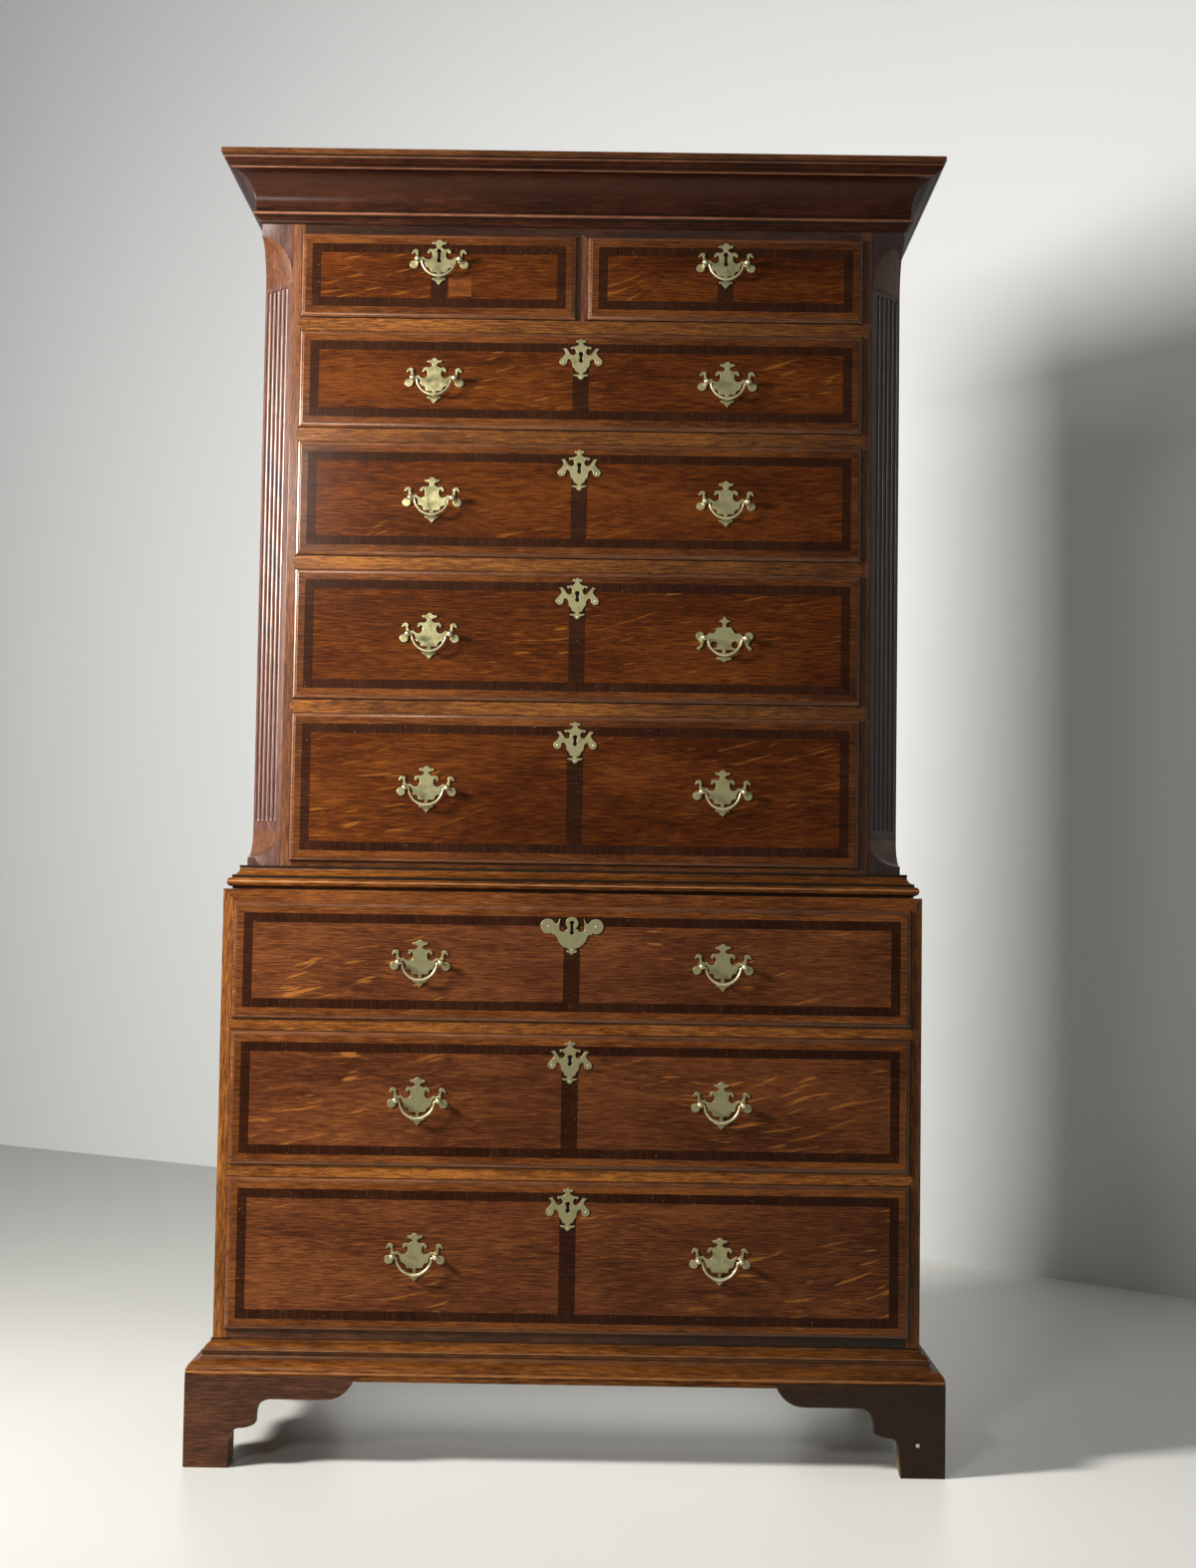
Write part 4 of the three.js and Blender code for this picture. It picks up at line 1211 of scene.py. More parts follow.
@dataclass
class Studio:
    """The camera where the photographer stood, a soft light from the left, a pale floor and wall."""

    spot: Place = (0.0488, -3.4458, 0.8016)
    yaw: float = math.radians(-0.258)
    pitch: float = math.radians(3.222)
    roll: float = math.radians(0.848)
    focal_pixels: float = 2200
    image_width: float = 1200
    sensor: float = 36
    glow: float = 0.13
    surround: float = 0.36
    sky: Colour = (0.93, 0.96, 1)
    floor_wide: float = 16
    floor_drift: Pattern = Pattern(1.5, 1.5, 3)
    floor_near: tuple[Colour, Colour] = ((0.485, 0.48, 0.442), (0.535, 0.53, 0.496))
    floor_far: Colour = (0.93, 0.92, 0.865)
    floor_span: Point = (-0.7, 0.9)
    floor_rough: float = 0.35
    wall: tuple[Point, ...] = (
        (-3.6, 4.9), (-1.85, 3.72), (-1.14, 3.26), (0.79, 1.70), (1.28, 1.22), (3.0, -0.6))
    wall_high: float = 4
    wall_rise: Point = (0.2, 3.2)
    wall_span: Point = (-1.6, 0.9)
    # Painted light on the wall: lighter towards the top and to the left
    wall_left: tuple[Colour, Colour] = ((0.84, 0.845, 0.83), (0.95, 0.955, 0.95))
    wall_right: tuple[Colour, Colour] = ((0.67, 0.67, 0.65), (0.77, 0.775, 0.765))
    wall_rough: float = 0.8

    def camera(self) -> None:
        """Stands the camera at the photograph's place and angle."""
        level = math.cos(self.pitch)
        ahead = Vector((math.sin(self.yaw) * level, math.cos(self.yaw) * level, math.sin(self.pitch)))
        right = Vector((math.cos(self.yaw), -math.sin(self.yaw), 0))
        up = right.cross(ahead)
        tilted = right * math.cos(self.roll) + up * math.sin(self.roll)
        up = up * math.cos(self.roll) - right * math.sin(self.roll)
        bpy.ops.object.camera_add()
        camera = bpy.context.active_object
        camera.name = "photographer"
        axes = Matrix((tilted, up, -ahead)).transposed().to_4x4()
        camera.matrix_world = Matrix.Translation(self.spot) @ axes
        camera.data.sensor_width = self.sensor
        camera.data.sensor_fit = "HORIZONTAL"
        camera.data.lens = self.sensor * self.focal_pixels / self.image_width
        bpy.context.scene.camera = camera

    def floor(self) -> None:
        """Lays the pale floor, with painted light: lighter towards the right."""
        bpy.ops.mesh.primitive_plane_add(size=self.floor_wide, location=(0, 0, 0))
        floor = settle(bpy.context.active_object, "studio_floor")
        recipe = Recipe("pale_floor")
        drift = recipe.grained(recipe.place, Grain.UPRIGHT, self.floor_drift, (0, 0, 0))
        tile = recipe.mixed(drift, *self.floor_near)
        # Painted light: the tile is mixed towards a brighter colour to the right
        away = recipe.between(recipe.parts()[0], *self.floor_span)
        recipe.shade(Base_Color=recipe.mixed(away, tile, self.floor_far), Roughness=self.floor_rough)
        dressed(floor, recipe.material)

    def shaded_plaster(self) -> Material:
        """The wall's pale paint, with painted shade: greyer towards its foot and to the right.

        Returns:
            The material.
        """
        recipe = Recipe("pale_wall")
        across, height = recipe.parts()[::2]
        tone = recipe.between(height, *self.wall_rise)
        left = recipe.mixed(tone, *self.wall_left)
        shade = recipe.between(across, *self.wall_span)
        right = recipe.mixed(tone, *self.wall_right)
        recipe.shade(Base_Color=recipe.mixed(shade, left, right), Roughness=self.wall_rough)
        self.one_sided(recipe)
        return recipe.material

    def back_wall(self) -> None:
        """Stands the wall behind the chest, drawn out from its left end and raised."""
        bpy.ops.mesh.primitive_plane_add(size=1, location=(*self.wall[0], 0))
        wall = settle(bpy.context.active_object, "studio_wall")
        with editing(wall):
            bpy.ops.mesh.select_mode(type="VERT")
            bpy.ops.mesh.select_all(action="SELECT")
            bpy.ops.mesh.merge(type="CENTER")
            for (x0, y0), (x1, y1) in zip(self.wall, self.wall[1:]):
                bpy.ops.mesh.extrude_vertices_move(TRANSFORM_OT_translate={"value": (x1 - x0, y1 - y0, 0)})
            bpy.ops.mesh.select_all(action="SELECT")
            bpy.ops.mesh.extrude_edges_move(TRANSFORM_OT_translate={"value": (0, 0, self.wall_high)})
        dressed(wall, self.shaded_plaster())
        if wall.data.polygons[0].normal.y > 0:
            with editing(wall):
                bpy.ops.mesh.select_all(action="SELECT")
                bpy.ops.mesh.flip_normals()
        only(wall)
        bpy.ops.object.shade_smooth()

    @staticmethod
    def one_sided(recipe: Recipe) -> None:
        """Lets a camera that stands behind the wall see through it.

        Args:
            recipe: The wall's material.
        """
        nodes = recipe.tree.nodes
        ray, side = nodes.new("ShaderNodeLightPath"), nodes.new("ShaderNodeNewGeometry")
        clear, either = nodes.new("ShaderNodeBsdfTransparent"), nodes.new("ShaderNodeMixShader")
        behind = recipe.maths("MULTIPLY", ray.outputs["Is Camera Ray"], side.outputs["Backfacing"])
        recipe.feed(either.inputs[0], behind)
        recipe.feed(either.inputs[1], recipe.shader.outputs[0])
        recipe.feed(either.inputs[2], clear.outputs[0])
        recipe.feed(nodes["Material Output"].inputs[0], either.outputs[0])

    def room(self) -> None:
        """Fills the room with a faint light, with a paler surround for the camera and for reflections."""
        world = bpy.data.worlds.new("pale_room")
        bpy.context.scene.world = world
        world.use_nodes = True
        nodes, links = world.node_tree.nodes, world.node_tree.links
        glow, ray = nodes["Background"], nodes.new("ShaderNodeLightPath")
        glow.inputs[0].default_value = (*self.sky, 1)
        seen = ray.outputs["Is Camera Ray"]
        for name in ("Is Glossy Ray", "Is Transmission Ray"):
            either = nodes.new("ShaderNodeMath")
            either.operation = "MAXIMUM"
            links.new(seen, either.inputs[0])
            links.new(ray.outputs[name], either.inputs[1])
            seen = either.outputs[0]
        strength = nodes.new("ShaderNodeMath")
        strength.operation = "MULTIPLY_ADD"
        strength.inputs[1].default_value = self.surround - self.glow
        strength.inputs[2].default_value = self.glow
        links.new(seen, strength.inputs[0])
        links.new(strength.outputs[0], glow.inputs[1])

    def build(self) -> None:
        """Sets up the whole studio."""
        bpy.context.scene.view_settings.view_transform = "Standard"
        self.room()
        self.camera()
        for lamp in LAMPS:
            lamp.hang()
        self.floor()
        self.back_wall()


# Brass


RING_STEP = 18


@dataclass(frozen=True)
class Ring:
    """One arc of a brass outline, as shares of the plate's half width; without a radius it is a corner."""

    x: float
    z: float
    radius: float = 0.0
    first: float = 0.0
    last: float = 0.0

    def points(self, half: float) -> list[Point]:
        """The arc's points at the plate's real size.

        Args:
            half: Half the plate's width.

        Returns:
            The points.
        """
        if not self.radius:
            return [(self.x * half, self.z * half)]
        return arc(self.x * half, self.z * half, self.radius * half, self.first, self.last, RING_STEP)


BATWING = (
    Ring(0, 0.647, 0.096, 90, 25), Ring(0.202, 0.62, 0.045, 140, -110), Ring(0.085, 0.53),
    Ring(0.075, 0.47), Ring(0.19, 0.405), Ring(0.29, 0.323, 0.1, 100, -10),
    Ring(0.36, 0.29, 0.04, 60, -160), Ring(0.29, 0.335), Ring(0.235, 0.27),
    Ring(0.364, 0.186, 0.136, 160, 285), Ring(0.47, 0.085), Ring(0.54, 0.15), Ring(0.62, 0.12),
    Ring(0.69, 0.16), Ring(0.72, 0.26), Ring(0.8, 0.3, 0.105, 165, 0), Ring(0.895, 0.275, 0.037, 40, -190),
    Ring(0.83, 0.3), Ring(0.78, 0.24), Ring(0.775, 0.05), Ring(0.85, -0.123, 0.143, 108, -200),
    Ring(0.66, 0.0), Ring(0.57, 0.05), Ring(0.5, 0.0), Ring(0.47, -0.1), Ring(0.44, -0.2),
    Ring(0.42, -0.364, 0.145, 75, 185), Ring(0.2, -0.393), Ring(0.06, -0.395), Ring(0.05, -0.57),
    Ring(0.2, -0.61, 0.035, 110, -70), Ring(0.12, -0.68), Ring(0.09, -0.72), Ring(0.0, -0.82),
)
ODD_PLATE = (
    Ring(0, 0.757), Ring(0.03, 0.72), Ring(0.075, 0.655), Ring(0.13, 0.635), Ring(0.21, 0.59),
    Ring(0.12, 0.565), Ring(0.07, 0.53), Ring(0.05, 0.44), Ring(0.06, 0.4), Ring(0.2, 0.395),
    Ring(0.26, 0.33), Ring(0.31, 0.235), Ring(0.38, 0.175), Ring(0.5, 0.2), Ring(0.56, 0.15),
    Ring(0.63, 0.1), Ring(0.7, 0.12), Ring(0.82, 0.095, 0.14, 150, -35), Ring(0.84, -0.1),
    Ring(0.79, -0.18), Ring(0.86, -0.32, 0.055, 90, -150), Ring(0.74, -0.27), Ring(0.7, -0.12),
    Ring(0.62, -0.04), Ring(0.36, -0.19, 0.2, 25, -80), Ring(0.2, -0.365), Ring(0.055, -0.37),
    Ring(0.05, -0.59), Ring(0.2, -0.655, 0.045, 110, -100), Ring(0.085, -0.72), Ring(0, -0.78),
)
ESCUTCHEON = (
    Ring(0, 0.88, 0.085, 90, 15), Ring(0.171, 0.854, 0.06, 120, -110), Ring(0.1, 0.78), Ring(0.089, 0.737),
    Ring(0.16, 0.66), Ring(0.244, 0.614), Ring(0.42, 0.53, 0.065, 110, -110), Ring(0.34, 0.52),
    Ring(0.25, 0.42), Ring(0.386, 0.342, 0.15, 150, 330), Ring(0.6, 0.4), Ring(0.7, 0.53), Ring(0.87, 0.49),
    Ring(0.77, 0.4), Ring(0.72, 0.28), Ring(0.85, 0.1), Ring(0.82, -0.12, 0.185, 50, -190), Ring(0.6, 0.0),
    Ring(0.5, -0.02), Ring(0.42, -0.12), Ring(0.39, -0.345), Ring(0.3, -0.43), Ring(0.24, -0.58),
    Ring(0.15, -0.63), Ring(0.075, -0.68), Ring(0.1, -0.72), Ring(0.31, -0.76, 0.035, 90, -80),
    Ring(0.16, -0.83), Ring(0, -0.85, 0.12, -20, -90),
)
ROUND_ESCUTCHEON = (
    Ring(0, 0.32, 0.2, 90, -55), Ring(0.29, 0.16, 0.115, 200, 340), Ring(0.4, 0.25), Ring(0.371, 0.502),
    Ring(0.42, 0.37), Ring(0.48, 0.295), Ring(0.55, 0.33), Ring(0.76, 0.22, 0.238, 130, -115),
    Ring(0.62, -0.03), Ring(0.53, -0.055), Ring(0, 0, 0.5, -12, -76), Ring(0.06, -0.52),
    Ring(0.13, -0.57, 0.04, 110, -100), Ring(0.05, -0.63), Ring(0, -0.69),
)


@dataclass
class Handle:
    """A swinging handle: its cut plate with two posts, and the bail that hangs from them."""

    half: float = 44 * MM
    thick: float = 1.6 * MM
    edge: float = 0.5 * MM
    reach: float = 31 * MM
    pivot: float = 13 * MM
    tail: float = 24 * MM
    radius: float = 25.2 * MM
    arm: float = 1.5 * MM
    middle: float = 2.4 * MM
    top: float = 0.743
    odd_top: float = 0.757
    keyhole: Place = (3.4 * MM, 3.1 * MM, 2.1 * MM)
    piercing: Place = (0.352, -0.198, 0.118)
    piercing_step: float = 15
    post_turning: tuple[Point, ...] = (
        (0.5, 3.4), (1.6, 3.4), (2.2, 2.2), (5.2, 2.0), (7.4, 2.5), (8.6, 3.9), (10.2, 4.4), (13, 4.6),
        (15.4, 4.2), (17, 3.1), (17.9, 1.7), (18.2, 0.5))
    nut_turning: tuple[Point, ...] = ((0, 5.4), (0.4, 5.9), (2.8, 5.9), (3.2, 5.4))
    tail_turning: tuple[Point, ...] = ((2, 1.9), (5.6, 1.9), (6.4, 1.2))
    pin_turning: tuple[Point, ...] = ((-1, 1.1), (0, 1.2), (0.4, 0.9), (0.6, 0.4))
    bail_ends: tuple[Point, ...] = ((27.7, 1.1), (26.9, 1.15))
    bail_elbow: float = math.radians(4)
    bail_steps: int = 22
    bail_swell: int = 3

    @staticmethod
    def rim(rings: Sequence[Ring], half: float) -> list[Point]:
        """A whole outline from its right half."""
        right = [point for ring in rings for point in ring.points(half)]
        return right + [(-x, z) for x, z in reversed(right) if x > HAIR]

    def keyhole_outline(self, height: float, lift: float) -> list[Point]:
        """A keyhole: a round head, a waist and a rounded foot.

        Args:
            height: The keyhole's height.
            lift: How far its middle is above the drawing's origin.

        Returns:
            Its outline.
        """
        head, foot, waist = self.keyhole
        top, low = lift + height / 2 - head, lift - height / 2 + foot
        lean = math.degrees(math.asin(waist / head))
        tuck = math.degrees(math.asin(waist / foot))
        return arc(0, top, head, lean - 90, 270 - lean) + arc(0, low, foot, 90 + tuck, 450 - tuck)

    def cut_plate(self, name: str, rings: Sequence[Ring], half: float, holes: Sequence[Sequence[Point]],
                  thick: float) -> Object:
        """A cut brass plate in its drawing place: back on Y 0, face towards the front.

        Args:
            name: The plate's name.
            rings: Its right half.
            half: Its half width.
            holes: Outlines of its piercings.
            thick: Its thickness.

        Returns:
            The plate, with a worn rim.
        """
        place = placed(RIGHT, UP, (0, -thick / 2, 0))
        piece = sawn(name, [self.rim(rings, half), *holes], thick, self.edge, place)
        dressed(piece, PALETTE.brass(FACE_BRASS), PALETTE.brass(RIM_BRASS))
        assigned(piece, lambda middle, normal: 0 if abs(normal.y) > NEARLY else 1)
        return piece

    def post(self) -> Object:
        """A turned post with a ball head.

        Returns:
            The post.
        """
        piece = turned("post", in_mm(self.post_turning), sides=18)
        piece.matrix_world = placed(RIGHT, UP, (self.reach, 0, 0))
        return dressed(settle(piece), PALETTE.brass(RIM_BRASS))

    def nut(self) -> Object:
        """The square nut on a post's tail, on the inner face of the drawer front.

        Returns:
            The nut.
        """
        piece = turned("nut", in_mm(self.nut_turning), sides=4)
        whole = joined("nut", [piece, turned("tail", in_mm(self.tail_turning), sides=12)])
        whole.matrix_world = placed(-RIGHT, UP, (self.reach, self.tail, 0))
        return dressed(settle(whole), PALETTE.brass(FACE_BRASS))

    def pin(self, x: float, z: float, thick: float) -> Object:
        """A small round-headed pin on a cut plate.

        Args:
            x: Its place across.
            z: Its height.
            thick: The plate's thickness.

        Returns:
            The pin.
        """
        piece = turned("pin", in_mm(self.pin_turning), sides=10)
        piece.matrix_world = placed(RIGHT, UP, (x, -thick, z))
        return dressed(settle(piece), PALETTE.brass(RIM_BRASS))

    def plate(self, kind: str) -> Object:
        """A finished plate with its posts.

        Args:
            kind: "plain", "keyed" or "odd".

        Returns:
            The plate in its drawing place.
        """
        holes: list[list[Point]] = []
        if kind == "keyed":
            holes.append(self.keyhole_outline(*TALL_KEY))
        if kind == "odd":
            x, z, radius = (share * self.half for share in self.piercing)
            step = self.piercing_step
            holes += [arc(side * x, z, radius, 0, 360 - step, step) for side in (1, -1)]
        rings = ODD_PLATE if kind == "odd" else BATWING
        cut = self.cut_plate(f"plate_{kind}", rings, self.half, holes, self.thick)
        right, nut = self.post(), self.nut()
        left, far_nut = mirrored(right, "post_left"), mirrored(nut, "nut_left")
        return joined(f"plate_{kind}", [cut, right, left, nut, far_nut])

    def bail(self) -> Object:
        """The bail in its drawing place, hanging straight down.

        Returns:
            The bail.
        """
        count, loop = self.bail_steps, []
        for i in range(count + 1):
            angle = self.bail_elbow + (math.pi - 2 * self.bail_elbow) * i / count
            thick = self.arm + (self.middle - self.arm) * math.sin(angle) ** self.bail_swell
            place = Vector((self.radius * math.cos(angle), -self.pivot, -self.radius * math.sin(angle)))
            loop.append((place, thick))
        right, left = ([(Vector((side * x * MM, -self.pivot, 0)), thick * MM) for x, thick in self.bail_ends]
                       for side in (1, -1))
        stations = [*right, *loop, *reversed(left)]
        return dressed(bent_rod("bail", stations), PALETTE.brass(RIM_BRASS))


# Drawers


@dataclass(frozen=True)
class Lock:
    """The lock let into a drawer front's inner face: a case, its cap and four screws."""

    case_half: float = 32 * MM
    case_span: Point = (-18 * MM, 22 * MM)
    case_thick: float = 2 * MM
    cap_half: float = 24 * MM
    cap_span: Point = (-15 * MM, 20 * MM)
    cap_end: float = 8 * MM
    screw_reach: float = 28 * MM
    screw_span: Point = (-13 * MM, 16 * MM)
    screw_turning: tuple[Point, ...] = ((0, 2.6), (0.8, 2.4), (1.2, 1.2))

    def build(self, name: str, x: float, y: float, z: float) -> Object:
        """Builds the lock.

        Args:
            name: Its name.
            x: Its middle.
            y: The inner face of the drawer's front.
            z: Height of the key.

        Returns:
            The lock in its place.
        """
        face = y + self.case_thick
        case = board("case", (x - self.case_half, y - self.case_thick, z + self.case_span[0]),
                     (x + self.case_half, face, z + self.case_span[1]))
        cap = board("cap", (x - self.cap_half, face, z + self.cap_span[0]),
                    (x + self.cap_half, y + self.cap_end, z + self.cap_span[1]), ROUNDED)
        screw = turned("screw", in_mm(self.screw_turning), sides=12)
        places = [(x + side * self.screw_reach, face, z + rise)
                  for side in (-1, 1) for rise in self.screw_span]
        screws = [copied(screw, "screw", placed(-RIGHT, UP, place)) for place in places]
        bpy.data.objects.remove(screw, do_unlink=True)
        return dressed(joined(name, [case, cap, *screws]), PALETTE.brass(DARK_IRON))


class Zone(IntEnum):
    """The parts of a drawer's front that have their own woods, in the order of those woods; DARK is grime and
    painted shade, and LIP is wear with a painted highlight.
    """

    LONG_MARGIN, FIELD, UPRIGHT_BAND, ACROSS_BAND, LIP, DARK, END_MARGIN, PATCH = range(8)


@dataclass
class Drawer:
    """One drawer: moulded and crossbanded front, dovetailed box, lock, and the brass on it."""

    name: str
    case: Case
    seed: float
    lip: float = 4 * MM
    side_gap: float = 1.2 * MM
    edge: float = 1.5 * MM
    ovolo: Point = (5.2 * MM, 3.1 * MM)
    ovolo_steps: int = 6
    step: float = 0.8 * MM
    step_edges: tuple[Point, Point] = ((0.12 * MM, 0.6), (0.5 * MM, 0.4))
    thick: float = 18 * MM
    lap: float = 0.35
    pin_half: Point = (3 * MM, 6 * MM)
    pin_pitch: float = 36 * MM
    pin_end: float = 4 * MM
    pin_proud: float = 0.12 * MM
    wall: float = 10 * MM
    floor: float = 9 * MM
    side_drop: float = 3 * MM
    rear_drop: float = 4 * MM
    margin: float = 15.5 * MM
    band: float = 13.5 * MM
    centre_band: float = 12 * MM
    long_from: float = 0.5
    key_drop: float = 39 * MM
    key_deep: float = 4.6 * MM
    patch: tuple[float, float, float, float] = UNPATCHED

    def __post_init__(self) -> None:
        """Reads the drawer's box from the frame."""
        low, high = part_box(self.name)
        self.x0, self.x1 = low[0], high[0]
        self.z0, self.z1 = low[2], high[2]
        self.back = high[1]
        self.front = self.case.front
        self.face = self.front - HAIR - self.edge - self.ovolo[1] - self.step
        self.body = f"{self.name}_body"
        self.long = self.x1 - self.x0 > self.long_from
        self.middle = (self.x0 + self.x1) / 2
        if self.long:
            self.key_place = self.z1 - self.key_drop
            self.key = TALL_KEY if self.name == ROUND_LOCK_DRAWER else LOW_KEY
        else:
            self.key_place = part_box(f"{self.name}_plate")[1][2] - Handle.top * Handle.half
            self.key = TALL_KEY

    def panel(self) -> Object:
        """The front: lip, ovolo, margin, crossband and field, drawn inwards from a plain board.

        Returns:
            The front.
        """
        low = (self.x0, self.front - HAIR - self.edge, self.z0)
        high = (self.x1, self.front - HAIR, self.z1)
        piece = board(f"{self.name}_front", low, high, 0)
        with editing(piece):
            pick(piece, facing(FRONT))
            reach = rise = 0.0
            for i in range(1, self.ovolo_steps + 1):
                angle = i / self.ovolo_steps * math.pi / 2
                to_reach, to_rise = self.ovolo[0] * (1 - math.cos(angle)), self.ovolo[1] * math.sin(angle)
                bpy.ops.mesh.inset(thickness=to_reach - reach, depth=to_rise - rise)
                reach, rise = to_reach, to_rise
            for wide, share in self.step_edges:
                bpy.ops.mesh.inset(thickness=wide, depth=self.step * share)
            flat = self.margin - self.ovolo[0] - sum(wide for wide, _ in self.step_edges)
            bpy.ops.mesh.inset(thickness=flat, depth=0)
            bpy.ops.mesh.inset(thickness=self.band, depth=0)
        hole = Handle().keyhole_outline(*self.key)
        place = placed(RIGHT, UP, (self.middle, self.face, self.key_place))
        carved(piece, sawn("keyhole", [hole], 2 * self.key_deep, 0, place))
        self.inlay(piece)
        return soften(piece, 0)

    def inlay(self, piece: Object) -> None:
        """Saws the centre band into the field and gives each part of the front its wood.

        Args:
            piece: The front.
        """
        middle = self.middle
        with editing(piece):
            for side in (-1, 1):
                bpy.ops.mesh.select_all(action="DESELECT")
                pick(piece, lambda m, n: n.y < -CLOSELY and self.inside(m, self.margin + self.band))
                bpy.ops.mesh.bisect(plane_co=(middle + side * self.centre_band, 0, 0), plane_no=RIGHT)
        self.patched(piece)
        low = self.case is LOWER
        long_wood, side_wood = (LOW_MARGIN, LOW_SIDE_MARGIN) if low else (MARGIN, SIDE_MARGIN)
        field_wood = LOW_FIELD if low else FIELD
        dressed(piece, PALETTE.wood(long_wood, Grain.ACROSS, self.seed),
                PALETTE.wood(field_wood, Grain.ACROSS, self.seed),
                PALETTE.wood(BAND, Grain.UPRIGHT, self.seed), PALETTE.wood(BAND, Grain.ACROSS, self.seed),
                PALETTE.wood(WORN_ARRIS_AND_HIGHLIGHT, Grain.ACROSS), PALETTE.wood(GRIME_AND_SHADE, Grain.ACROSS),
                PALETTE.wood(side_wood, Grain.ACROSS, self.seed), PALETTE.wood(PATCH, Grain.ACROSS))

        def choose(m: Vector, n: Vector) -> Zone:
            """The zone of a face with this middle and normal.

            Args:
                m: Its middle.
                n: Its normal.

            Returns:
                The zone.
            """
            # Painted shade: the keyhole's walls behind the face take the dark wood
            if self.inside(m, self.margin) and m.y > self.face + HAIR:
                return Zone.DARK
            x0, z0, x1, z1 = self.patch
            flat = n.y < -EXACTLY
            if flat and x0 < m.x < x1 and z0 < m.z < z1:
                return Zone.PATCH
            if flat and self.inside(m, self.margin + self.band):
                return Zone.ACROSS_BAND if abs(m.x - middle) < self.centre_band else Zone.FIELD
            if flat and self.inside(m, self.margin):
                upright = min(m.z - self.z0, self.z1 - m.z) < self.margin + self.band
                return Zone.UPRIGHT_BAND if upright else Zone.ACROSS_BAND
            if flat:
                end = min(m.x - self.x0, self.x1 - m.x) < self.margin
                return Zone.END_MARGIN if end else Zone.LONG_MARGIN
            # Painted shade and grime on the lip's sides and the groove at its step; the ovolo takes the worn
            # wood with its painted highlight
            groove = self.inside(m, self.ovolo[0]) and m.y > self.face + self.step * self.step_edges[1][1]
            return Zone.DARK if groove or n.y > -HARDLY else Zone.LIP

        assigned(piece, choose)

    def patched(self, piece: Object) -> None:
        """Saws the outline of a later patch into the veneer.

        Args:
            piece: The front.
        """
        x0, z0, x1, z1 = self.patch
        if x0 == x1:
            return
        with editing(piece):
            for place, axis in ((x0, (1, 0, 0)), (x1, (1, 0, 0)), (z0, (0, 0, 1)), (z1, (0, 0, 1))):
                bpy.ops.mesh.select_all(action="DESELECT")
                pick(piece, lambda m, n: n.y < -EXACTLY and self.inside(m, self.ovolo[0]))
                bpy.ops.mesh.bisect(plane_co=[place * a for a in axis], plane_no=axis)

    def inside(self, point: Vector, inset: float) -> bool:
        """Whether a point of the front lies further in than an inset."""
        return (self.x0 + inset < point.x < self.x1 - inset) and (self.z0 + inset < point.z < self.z1 - inset)

    def box(self) -> Object:
        """The drawer's sides, back and bottom.

        Returns:
            The box.
        """
        inset = self.lip + self.side_gap
        x0, x1 = self.x0 + inset, self.x1 - inset
        low, high = self.z0 + self.lip + HAIR, self.z1 - self.lip - self.side_drop
        front, back = self.front, self.back
        sides = board("side", (x0, front + self.thick * self.lap, low), (x0 + self.wall, back, high), PLANED)
        far = mirrored(sides, "far_side")
        far.data.transform(Matrix.Translation((x0 + x1, 0, 0)))
        rear = board("rear", (x0 + self.wall, back - self.wall, low + self.floor),
                     (x1 - self.wall, back - HAIR, high - self.rear_drop), PLANED)
        bottom = board("bottom", (x0 + self.wall / 2, front + self.thick, low),
                       (x1 - self.wall / 2, back, low + self.floor), PLANED)
        linings = joined(f"{self.name}_box", [sides, far, rear, bottom])
        return dressed(linings, PALETTE.wood(LINING, Grain.DEEP, self.seed))

    def core(self) -> Object:
        """The front's solid board behind the lip, with the dovetail pins that reach through the sides.

        Returns:
            The board.
        """
        inset = self.lip + self.side_gap
        low, high = self.z0 + inset, self.z1 - inset
        x0, x1 = self.x0 + inset, self.x1 - inset
        lapped = self.front + self.thick * self.lap
        core = board("core", (x0, self.front - HAIR, low), (x1, lapped, high), 0)
        inner = board("inner", (x0 + self.wall, lapped, self.z0 + self.lip + HAIR),
                      (x1 - self.wall, self.front + self.thick, self.z1 - self.lip - self.side_drop), PLANED)
        pieces = [core, inner]
        count = max(3, round((high - low) / self.pin_pitch))
        pitch = (high - low - 2 * self.pin_end) / count
        narrow, wide = self.pin_half
        back = self.front + self.thick
        for i in range(count):
            middle = low + self.pin_end + pitch * (i + 0.5)
            outline = [(self.front, middle - narrow), (back, middle - wide),
                       (back, middle + wide), (self.front, middle + narrow)]
            for side, x in ((-1, x0 + self.wall / 2), (1, x1 - self.wall / 2)):
                place = placed(INWARD, UP, (x + side * self.pin_proud, 0, 0))
                pieces.append(sawn("pin", [outline], self.wall, 0, place))
        whole = joined(f"{self.name}_front_board", pieces)
        return dressed(whole, PALETTE.wood(CASE, Grain.ACROSS, self.seed))

    def build(self) -> None:
        """Builds the drawer's wood and its lock, and hangs them on its body."""
        fitted(self.panel(), self.body, "oak_drawer_front", self.name)
        fitted(self.core(), self.body, "oak_drawer_front")
        fitted(self.box(), self.body, "oak_drawer_front")
        height = self.key_place + self.key[1]
        lock = Lock().build(f"{self.name}_lock", self.middle, self.front + self.thick, height)
        fitted(lock, self.body, "aged_brass")


